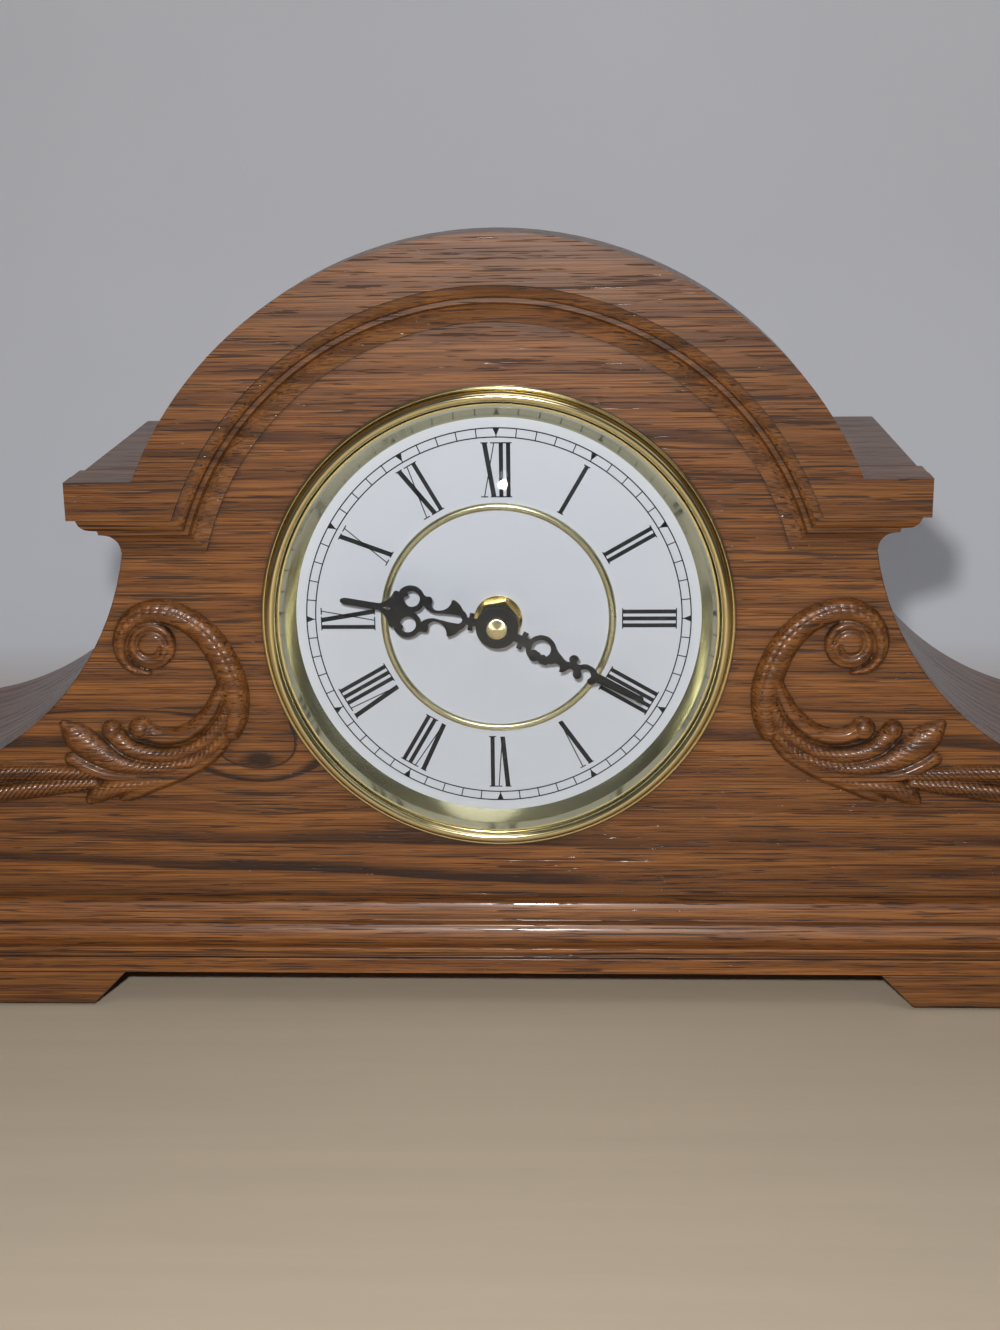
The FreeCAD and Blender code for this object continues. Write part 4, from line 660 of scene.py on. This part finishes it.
def strandHeight(strand, total, off, place, side, width, look):
    if off >= 1.0:
        return -(off - 1.0) * width * look["slope"]
    crown = strand["crown"] * min(1.0, look["crownStart"] + look["crownByWidth"] * width) \
        * min(1.0, look["tipStart"] + look["tipByLength"] * (total - place))
    value = crown * (look["valley"] + (1 - look["valley"]) * (1 - off ** 2)) * (1 - off ** 6) ** 0.5
    kind, pitch, share = strand["cuts"]
    if kind == "cross":
        wave = 0.5 - 0.5 * math.cos(2 * math.pi * (place + look["crossSlant"] * side) / pitch)
        fade = limited((place - look["cutStart"]) / look["cutFade"])
        fade *= limited((side + look["innerSide"]) / look["innerSide"])
        value *= 1 - share * fade * (1 - wave) ** 3
        return value - look["grooveDepth"] * fade * bell(side - look["groovePlace"], look["grooveWidth"])
    if kind == "slant":
        wave = abs(((place + look["veinSlant"] * side * width) / pitch) % 1.0 - 0.5) * 2
        return value * (1 - share * (1 - min(1.0, wave / look["veinShare"])) ** look["veinPower"])
    wave = 0.5 + 0.5 * math.cos(2 * math.pi * side * look["alongTurns"])
    return value * (1 - look["alongDepth"] * wave)


def domeHeight(x, z, radius, crown, eye, slope):
    gap = math.hypot(x, z)
    if gap > radius:
        return -(gap - radius) * slope
    bulge = math.sqrt(max(0.0, 1 - (gap / radius) ** 2))
    if not eye:
        return crown * bulge
    fromRing = gap - (eye + spiral["growth"] * math.atan2(z, x))
    return crown * (spiral["base"] + (1 - spiral["base"]) * bulge) \
        + spiral["ridge"] * bell(fromRing, spiral["ridgeWidth"]) \
        - spiral["groove"] * bell(fromRing + spiral["grooveBack"], spiral["grooveWidth"])


def makeCarving(look):
    cell, sink, left, low = look["cell"], look["sink"], look["left"], look["low"]
    columns, rows = int(look["width"] / cell), int(look["height"] / cell)
    heights = {}

    def lift(spot, value):
        if value > heights.get(spot, -sink):
            heights[spot] = value

    def around(x, z, reach):
        firstColumn, firstRow = max(0, int((x - reach - left) / cell)), max(0, int((z - reach - low) / cell))
        lastColumn, lastRow = int((x + reach - left) / cell) + 2, int((z + reach - low) / cell) + 2
        for column in range(firstColumn, min(columns, lastColumn)):
            for row in range(firstRow, min(rows, lastRow)):
                yield (column, row), left + column * cell, low + row * cell

    for strand in strands:
        run = curvePoints(strand["line"], look["least"])
        for spot, values in strandPoints(run, around, look["margin"]).items():
            lift(spot, strandHeight(strand, run[-1][3], *values, look))
    for x0, z0, radius, crown, eye in domes:
        for spot, x, z in around(x0, z0, radius + look["margin"]):
            lift(spot, domeHeight(x - x0, z - z0, radius, crown, eye, look["slope"]))
    used = set()
    for column, row in heights:
        for a, b in ((column, row), (column - 1, row), (column, row - 1), (column - 1, row - 1)):
            if any(heights.get(corner, -1) > look["kept"] for corner in cellCorners(a, b)):
                used.add((a, b))
    number, points, faces = {}, [], []
    for a, b in sorted(used):
        face = []
        for corner in cellCorners(a, b):
            if corner not in number:
                number[corner] = len(points)
                value = max(heights.get(corner, -sink), -sink)
                points.append(((left + corner[0] * cell) * mm, panelFront - value * mm,
                               dialAxis + (low + corner[1] * cell) * mm))
            face.append(number[corner])
        faces.append(face)
    return points, faces


def cellCorners(column, row):
    return (column, row), (column + 1, row), (column + 1, row + 1), (column, row + 1)


carvedPoints, carvedFaces = makeCarving(carving)
for side, sign in (("right", 1), ("left", -1)):
    name = f"carving{side.capitalize()}"
    mesh = plainMesh(name, [(x * sign, y, z) for x, y, z in carvedPoints],
                     [face if sign > 0 else face[::-1] for face in carvedFaces])
    mesh.shade_smooth()
    addPiece(name, mesh, carvedOak, node=f"scroll_carving_{side}")
print("carving")


# Plain finishes: each gets a soft unevenness of colour and gloss
finishLook = {"cloudRange": (0.3, 0.7), "smooth": 0.85, "rough": 1.2, "bumpStrength": 0.5}


def makeFinish(name, color, roughness, metallic, spread, scale, bumpDepth=0.00004, stretch=(1, 1, 1),
               specular=0.5, look=finishLook):
    material, tree, link, shader = newMaterial(name)
    place = tree.add("ShaderNodeTexCoord").outputs["Object"]
    cloud = tree.noise(tree.scaled(place, stretch), scale, 4.0, 0.6)
    shade = tree.remap(cloud, *look["cloudRange"], 1 - spread, 1 + spread)
    link(tree.shaded(color + (1,), shade), shader.inputs["Base Color"])
    gloss = (roughness * look["smooth"], min(roughness * look["rough"], 1.0))
    link(tree.remap(cloud, *look["cloudRange"], *gloss), shader.inputs["Roughness"])
    setInputs(shader, {"Metallic": metallic, "Specular IOR Level": specular})
    link(tree.bump(look["bumpStrength"], bumpDepth, cloud), shader.inputs["Normal"])
    return material


# Colour, roughness, metal or not, unevenness, and the fineness and depth of the unevenness
rimBrass = makeFinish("rimBrass", (0.7, 0.6, 0.32), 0.12, 1.0, 0.05, 40.0, 0.00001)
coneBrass = makeFinish("coneBrass", (0.52, 0.49, 0.33), 0.14, 1.0, 0.06, 30.0, 0.00001)
ringBrass = makeFinish("ringBrass", (0.5, 0.47, 0.31), 0.24, 1.0, 0.05, 60.0, 0.00001)
nutBrass = makeFinish("nutBrass", (0.78, 0.62, 0.3), 0.2, 1.0, 0.06, 200.0)
fittingBrass = makeFinish("fittingBrass", (0.72, 0.55, 0.27), 0.3, 1.0, 0.1, 160.0)
dialWhite = makeFinish("dialWhite", (0.56, 0.565, 0.64), 0.32, 0.0, 0.015, 12.0, 0.00001)
handBlack = makeFinish("handBlack", (0.006, 0.006, 0.007), 0.42, 0.0, 0.1, 150.0, 0.00002, specular=0.25)
inkBlack = makeFinish("inkBlack", (0.006, 0.006, 0.008), 0.65, 0.0, 0.05, 300.0, 0.00001, specular=0.25)
platedSteel = makeFinish("platedSteel", (0.62, 0.62, 0.6), 0.28, 1.0, 0.1, 220.0)
blackPlastic = makeFinish("blackPlastic", (0.02, 0.02, 0.021), 0.52, 0.0, 0.12, 900.0, 0.00006)
whitePlastic = makeFinish("whitePlastic", (0.72, 0.71, 0.67), 0.38, 0.0, 0.03, 120.0)
magnetSteel = makeFinish("magnetSteel", (0.2, 0.2, 0.22), 0.35, 1.0, 0.1, 300.0)
copperWire = makeFinish("copperWire", (0.76, 0.33, 0.13), 0.28, 1.0, 0.15, 20.0, 0.0001, stretch=(160, 160, 1))
greenBoard = makeFinish("greenBoard", (0.02, 0.13, 0.05), 0.35, 0.0, 0.12, 300.0)
blackRubber = makeFinish("blackRubber", (0.025, 0.025, 0.025), 0.75, 0.0, 0.15, 500.0, 0.0001)
batteryWrap = makeFinish("batteryWrap", (0.03, 0.035, 0.05), 0.25, 0.0, 0.05, 60.0)
brownFelt = makeFinish("brownFelt", (0.055, 0.03, 0.017), 0.95, 0.0, 0.35, 1500.0, 0.0004)

# Bare boards and plywood for what isn't seen from the front
pineWood = makeOak("pineWood", shift=(0.5, 0.9, 0.2), spacing=0.006, waviness=0.003, darkness=0.1, tone=1.9,
                   relief=0.5)
boardWood = makeOak("boardWood", shift=(0.25, 1.3, 0.4), spacing=0.01, waviness=0.012, darkness=0.25, tone=1.25,
                    relief=0.6)
doorWood = makeOak("doorWood", shift=(0.95, 2.1, 0.84), spacing=0.011, waviness=0.014, darkness=0.25, tone=1.25,
                   relief=0.6)
softEdges = {
    "bottom_board": (boardWood, 0.4), "back_panel": (boardWood, 0.35), "back_door": (doorWood, 0.35),
    "back_cleats": (pineWood, 0.4), "foot_pads": (brownFelt, 0.25), "hour_hand": (handBlack, 0.12),
    "minute_hand": (handBlack, 0.12), "hex_nut": (nutBrass, 0.25), "movement_case": (blackPlastic, 0.3),
    "movement_cover": (blackPlastic, 0.35), "hinge_leaves_case": (fittingBrass, 0.12),
    "hinge_leaves_door": (fittingBrass, 0.12), "magnetic_catch": (whitePlastic, 0.3),
    "door_strike": (platedSteel, 0.1),
}
for node, (material, width) in softEdges.items():
    soften(node, width * mm, material)
for material, names in (
    (nutBrass, ["brass_washer", "threaded_bushing"]), (fittingBrass, ["hinge_pins", "door_knob"]),
    (platedSteel, ["back_screws", "battery_contacts", "stator", "minute_arbor"]),
    (whitePlastic, ["hour_wheel", "motion_wheel", "third_wheel", "seconds_wheel", "centre_wheel",
                    "setting_knob"]),
    (magnetSteel, ["rotor"]), (copperWire, ["coil"]), (greenBoard, ["circuit_board"]),
    (blackRubber, ["rubber_washer"]), (batteryWrap, ["battery"]), (dialWhite, ["dial_plate"]),
):
    dress(names, material)
print("finishes")


# Turned profiles: rows of (depth behind a level, radius) in millimetres
def quarterRows(start, end, centre, steps=8):
    # a quarter turn from start to end about a centre, without the start
    first, last = (math.atan2(point[1] - centre[1], point[0] - centre[0]) for point in (start, end))
    swing = (last - first + math.pi) % (2 * math.pi) - math.pi
    near, far = math.dist(start, centre), math.dist(end, centre)
    rows = []
    for step in range(1, steps + 1):
        reach, turn = near + (far - near) * step / steps, first + swing * step / steps
        rows.append((centre[0] + reach * math.cos(turn), centre[1] + reach * math.sin(turn)))
    return rows


def ridgeRows(foot, top, otherFoot):
    # a rounded ridge with its first foot
    middle = (foot[0], top[1])
    return [foot] + quarterRows(foot, top, middle) + quarterRows(top, otherFoot, middle)


def addTurned(name, rows, level, material, steps, sharpAngle=35, **place):
    profile = [(level + depth * mm, radius * mm) for depth, radius in rows]
    addPiece(name, latheMesh(name, profile, steps, sharpAngle=sharpAngle), material, **place)


# Bezel: polished rim with a bead at its foot, and a satin throat in two slopes
bezelLook = {"steps": 256, "outer": 78.5, "beadLevel": -0.45, "beadMiddle": 77.75, "beadRadius": 0.75,
             "beadSteps": 10, "foot": (-2.2, 76.95), "top": (-4.0, 75.2), "innerFoot": (-2.2, 73.45)}
bezelBack = (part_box("bezel")[1].y - panelFront) / mm


def beadRows(look):
    # half a circle, from its outer side over its front to its inner side
    turns = [math.radians(90 + 180 * step / look["beadSteps"]) for step in range(look["beadSteps"] + 1)]
    return [(look["beadLevel"] + look["beadRadius"] * math.cos(turn),
             look["beadMiddle"] + look["beadRadius"] * math.sin(turn)) for turn in turns]


rimRows = [(0.0, bezelLook["outer"])] + beadRows(bezelLook) + [(-0.5, 76.95)]
rimRows += ridgeRows(bezelLook["foot"], bezelLook["top"], bezelLook["innerFoot"])
rimRows += [(-1.85, 73.4), (-1.8, 73.3), (-1.8, 72.2), (0.0, 72.4)]
throatRows = [(-1.8, 72.3), (-1.75, 72.2), (0.9, 70.95), (1.1, 70.8), (4.7, 67.5), (4.8, 67.4), (4.8, 68.0),
              (1.8, 71.4), (bezelBack, 71.4), (bezelBack, 72.0), (0.0, 72.0), (-1.2, 72.6)]
addTurned("bezelRim", rimRows, panelFront, rimBrass, bezelLook["steps"], node="bezel")
addTurned("bezelThroat", throatRows, panelFront, coneBrass, bezelLook["steps"], 25, rider="bezel",
          slot="polished_brass")

# Raised ring on the dial, half round
ringRows = ridgeRows((0.0, 36.6), (-0.9, 37.9), (0.0, 39.2))
addTurned("dialRing", ringRows, dialFront, ringBrass, 192, node="dial_ring")

# Domed glass, between the front and the back of its node; lengths in millimetres
glassLook = {"thick": 1.4, "edge": 0.5, "outer": 73.1, "inner": 72.9, "tint": (0.97, 0.99, 0.985, 1),
             "shadowTint": (0.96, 0.98, 0.975, 1), "ior": 1.25, "smearRange": (0.55, 0.8), "smear": 0.035}
glassLow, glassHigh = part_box("glass")


def domeRows(level, edgeLevel, radius, steps=24):
    # a ball's cap from its top at the level to its edge
    sag = edgeLevel - level
    ball = (radius * radius + sag * sag) / (2 * sag)
    reaches = [radius * step / steps for step in range(steps + 1)]
    return [(level + ball - math.sqrt(ball * ball - reach ** 2), reach) for reach in reaches]


outerRows = domeRows(glassLow.y, glassHigh.y - glassLook["edge"] * mm, glassLook["outer"] * mm)
innerRows = domeRows(glassLow.y + glassLook["thick"] * mm, glassHigh.y, glassLook["inner"] * mm)
glassRows = outerRows + [(glassHigh.y, glassLook["outer"] * mm)] + innerRows[::-1]


def makeGlass(look):
    material, tree, link, shader = newMaterial("clearGlass")
    place = tree.add("ShaderNodeTexCoord").outputs["Object"]
    smear = tree.noise(place, 30.0, 3.0, 0.5)
    link(tree.remap(smear, *look["smearRange"], 0.0, look["smear"]), shader.inputs["Roughness"])
    setInputs(shader, {"Base Color": look["tint"], "Transmission Weight": 1.0, "IOR": look["ior"]})
    # light goes through to the dial without a hard shadow
    clear = tree.add("ShaderNodeBsdfTransparent", {"Color": look["shadowTint"]}).outputs[0]
    rays = tree.add("ShaderNodeLightPath").outputs
    passing = tree.math("MAXIMUM", rays["Is Shadow Ray"], rays["Is Diffuse Ray"])
    link(tree.blend(passing, shader.outputs[0], clear), surfaceOf(material))
    return material


addPiece("domedGlass", latheMesh("domedGlass", glassRows, closed=False, sharpAngle=40), makeGlass(glassLook),
         node="glass")
print("bezel and glass")

# Printing on the dial: minute track and Roman numerals that stand on the side of the centre, in millimetres
printing = {
    "lift": 0.03, "inner": 41.2, "outer": 59.0, "thick": 1.38, "thin": 0.36, "serif": 0.4, "widen": 1.15,
    "trackInner": 60.9, "trackOuter": 63.9, "line": 0.42, "tick": 0.36, "trackSteps": 360,
    "markHalf": 1.15, "markTip": 0.35,
}
letterWidth = {"I": 2.36, "V": 5.0, "X": 5.4}
# For each slanted letter: where its thick and its thin stroke stand at their low and high ends, how far out
# its serifs are, how much shorter they are than half the letter, and the ends that have them
slants = {
    "X": {"thick": (1.5, -1.5), "thin": (-1.6, 1.6), "serifs": 1.55, "shorter": 0.35,
          "ends": ("inner", "outer")},
    "V": {"thick": (0.25, -1.45), "thin": (0.35, 1.65), "serifs": 1.55, "shorter": 0.4, "ends": ("outer",)},
}
numerals = ["XII", "I", "II", "III", "IIII", "V", "VI", "VII", "VIII", "IX", "X", "XI"]


def stroke(start, end, low, high, width):
    # a stroke whose middle goes from one place across at its low end to another at its high end
    half = width / 2
    return [(start - half, low), (start + half, low), (end + half, high), (end - half, high)]


def numeralPolygons(numeral, look):
    low, high, thick, thin, serif = (look[key] for key in ("inner", "outer", "thick", "thin", "serif"))

    def bar(middle, level, width):
        return stroke(middle, middle, level - serif / 2, level + serif / 2, width)

    polygons, place = [], -sum(letterWidth[letter] for letter in numeral) / 2
    for letter in numeral:
        width = letterWidth[letter]
        middle = place + width / 2
        place += width
        if letter == "I":
            polygons.append(stroke(middle, middle, low, high, thick))
            polygons += [bar(middle, level, width) for level in (low, high)]
            continue
        slant = slants[letter]
        for key, strokeWidth in (("thick", thick * look["widen"]), ("thin", thin)):
            start, end = slant[key]
            polygons.append(stroke(middle + start, middle + end, low, high, strokeWidth))
        for end in slant["ends"]:
            polygons += [bar(middle + side * slant["serifs"], look[end], width / 2 - slant["shorter"])
                         for side in (-1, 1)]
    return polygons


def makePrinting(look):
    points, faces = [], []
    level = dialFront - look["lift"] * mm

    def put(polygon, turn):
        cos, sin = math.cos(turn), math.sin(turn)
        first = len(points)
        for across, out in polygon:
            points.append(((across * cos + out * sin) * mm, level, dialAxis + (out * cos - across * sin) * mm))
        faces.append(tuple(range(first, first + len(polygon))))

    trackInner, trackOuter, markHalf = look["trackInner"], look["trackOuter"], look["markHalf"]
    for hour, numeral in enumerate(numerals):
        turn = 2 * math.pi * hour / len(numerals)
        for polygon in numeralPolygons(numeral, look):
            put(polygon, turn)
        put([(-markHalf, trackOuter), (0, trackInner + look["markTip"]), (markHalf, trackOuter)], turn)
    steps = look["trackSteps"]
    slope = math.tan(math.pi / steps)
    for radius in (trackInner, trackOuter):
        inner, outer = radius - look["line"] / 2, radius + look["line"] / 2
        for step in range(steps):
            put([(-inner * slope, inner), (inner * slope, inner), (outer * slope, outer),
                 (-outer * slope, outer)], 2 * math.pi * step / steps)
    for minute in range(60):
        put(stroke(0, 0, trackInner, trackOuter, look["tick"]), 2 * math.pi * minute / 60)
    return plainMesh("dialPrinting", points, faces)


addPiece("dialPrinting", makePrinting(printing), inkBlack, rider="dial_plate", slot="black_hands")
print("printing")

# Screws with a cross recess: the heads stand on the face of the node's own solids. The look is in shares of
# the head, the turns are those of the first cross and from each to the next, and the hinge screws are in metres
screwLook = {"rings": 12, "steps": 48, "crown": 0.75, "armHalf": 0.13, "armReach": 0.62, "recess": 0.75,
             "wall": 3, "end": 4, "sharpAngle": 50}
backScrewTurns = (0.4, 1.1)
hingeScrew = {"radius": 0.0016, "height": 0.0005, "aside": 0.0015, "level": 0.0012, "places": (0.2, 0.8),
              "turn": 7}


def islands(node):
    # the lowest and highest corner of each of a node's separate solids, in a fixed order
    shape = joinedShape(nodeOf[node].data, joinGap)
    left, found = set(shape.verts), []
    while left:
        stack, box = [left.pop()], []
        while stack:
            vert = stack.pop()
            box.append(vert.co.copy())
            for edge in vert.link_edges:
                other = edge.other_vert(vert)
                if other in left:
                    left.discard(other)
                    stack.append(other)
        found.append(tuple(Vector(pick(point[axis] for point in box) for axis in range(3))
                           for pick in (min, max)))
    shape.free()
    return sorted(found, key=lambda pair: tuple(round(v, 5) for v in pair[0]))


def headHeight(a, b, height, look):
    # the crown of a head less its cross recess, at a point given in shares of the radius
    crown = height * math.sqrt(1 - look["crown"] * (a * a + b * b))
    arm = min(abs(a), abs(b)) / look["armHalf"]
    reach = max(abs(a), abs(b)) / look["armReach"]
    if arm < 1 and reach < 1:
        side, end = min(1.0, (1 - arm) * look["wall"]), min(1.0, (1 - reach) * look["end"])
        crown -= height * look["recess"] * side * end
    return crown


def addScrews(name, heads, material, look=screwLook, **place):
    # each head is (across, level of its face, rise, radius, height, turn of the cross); it faces the back
    rings, steps = look["rings"], look["steps"]
    points, faces = [], []
    for x, level, z, radius, height, turn in heads:
        first = len(points)
        cos, sin = math.cos(turn), math.sin(turn)
        for ring in range(rings + 1):
            gap = ring / rings
            for step in range(steps):
                angle = 2 * math.pi * step / steps
                a, b = gap * math.cos(angle), gap * math.sin(angle)
                rise = headHeight(a, b, height, look) if ring < rings else 0.0
                points.append((x + radius * (a * cos - b * sin), level + rise,
                               z + radius * (a * sin + b * cos)))
        for ring in range(rings):
            for step in range(steps):
                follow = (step + 1) % steps
                low, high = first + ring * steps, first + (ring + 1) * steps
                faces.append((low + step, low + follow, high + follow, high + step))
    mesh = smoothMesh(name, points, faces, look["sharpAngle"])
    writeBack(joinedShape(mesh, pointRadius), mesh)
    addPiece(name, mesh, material, **place)


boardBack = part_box("back_panel")[1].y
firstTurn, nextTurn = backScrewTurns
heads = [((low.x + high.x) / 2, boardBack, (low.z + high.z) / 2, (high.x - low.x) / 2, high.y - boardBack,
          firstTurn + nextTurn * number) for number, (low, high) in enumerate(islands("back_screws"))]
addScrews("backScrewHeads", heads, platedSteel, node="back_screws")
for node, sign in (("hinge_leaves_case", 1), ("hinge_leaves_door", -1)):
    heads = [((low.x + high.x) / 2 + sign * hingeScrew["aside"], low.y + hingeScrew["level"],
              low.z + (high.z - low.z) * share, hingeScrew["radius"], hingeScrew["height"],
              share * hingeScrew["turn"]) for low, high in islands(node) for share in hingeScrew["places"]]
    addScrews(pieceName(node, "Screws"), heads, fittingBrass, rider=node, slot="brass_fitting")
print("screws")

# Hand nut with a spun face; lengths in millimetres
nutLook = {"color": (0.72, 0.62, 0.36, 1), "spin": 0.85, "lines": 9000.0, "roughness": (0.2, 0.36),
           "bore": 1.3, "sideFrom": 0.35, "roundAt": (0.12, 0.1), "faceInset": 0.4}
nutLow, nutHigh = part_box("hand_nut")


def makeSpunBrass(look):
    material, tree, link, shader = newMaterial("spunBrass")
    setInputs(shader, {"Base Color": look["color"], "Metallic": 1.0, "Anisotropic": look["spin"]})
    place = tree.add("ShaderNodeTexCoord").outputs["Object"]
    centred = tree.scaled(place, (1, 1, 1), (0, 0, -dialAxis))
    parts = tree.split(centred)
    ring = tree.join(x=parts["Z"], z=tree.math("MULTIPLY", parts["X"], -1.0))
    link(tree.vectorMath("NORMALIZE", ring), shader.inputs["Tangent"])
    gap = tree.vectorMath("LENGTH", centred, output="Value")
    lines = tree.noise(tree.join(x=gap), look["lines"])
    link(tree.remap(lines, 0.3, 0.7, *look["roughness"]), shader.inputs["Roughness"])
    return material


roundDepth, roundInset = nutLook["roundAt"]
nutRows = [(nutHigh.y, nutLook["bore"] * mm), (nutHigh.y, nutHigh.x),
           (nutLow.y + nutLook["sideFrom"] * mm, nutHigh.x),
           (nutLow.y + roundDepth * mm, nutHigh.x - roundInset * mm),
           (nutLow.y, nutHigh.x - nutLook["faceInset"] * mm), (nutLow.y, 0.0)]
nutMesh = latheMesh("handNutFine", nutRows, 96, closed=False, sharpAngle=30)
addPiece("handNutFine", nutMesh, makeSpunBrass(nutLook), node="hand_nut")
print("hand nut")
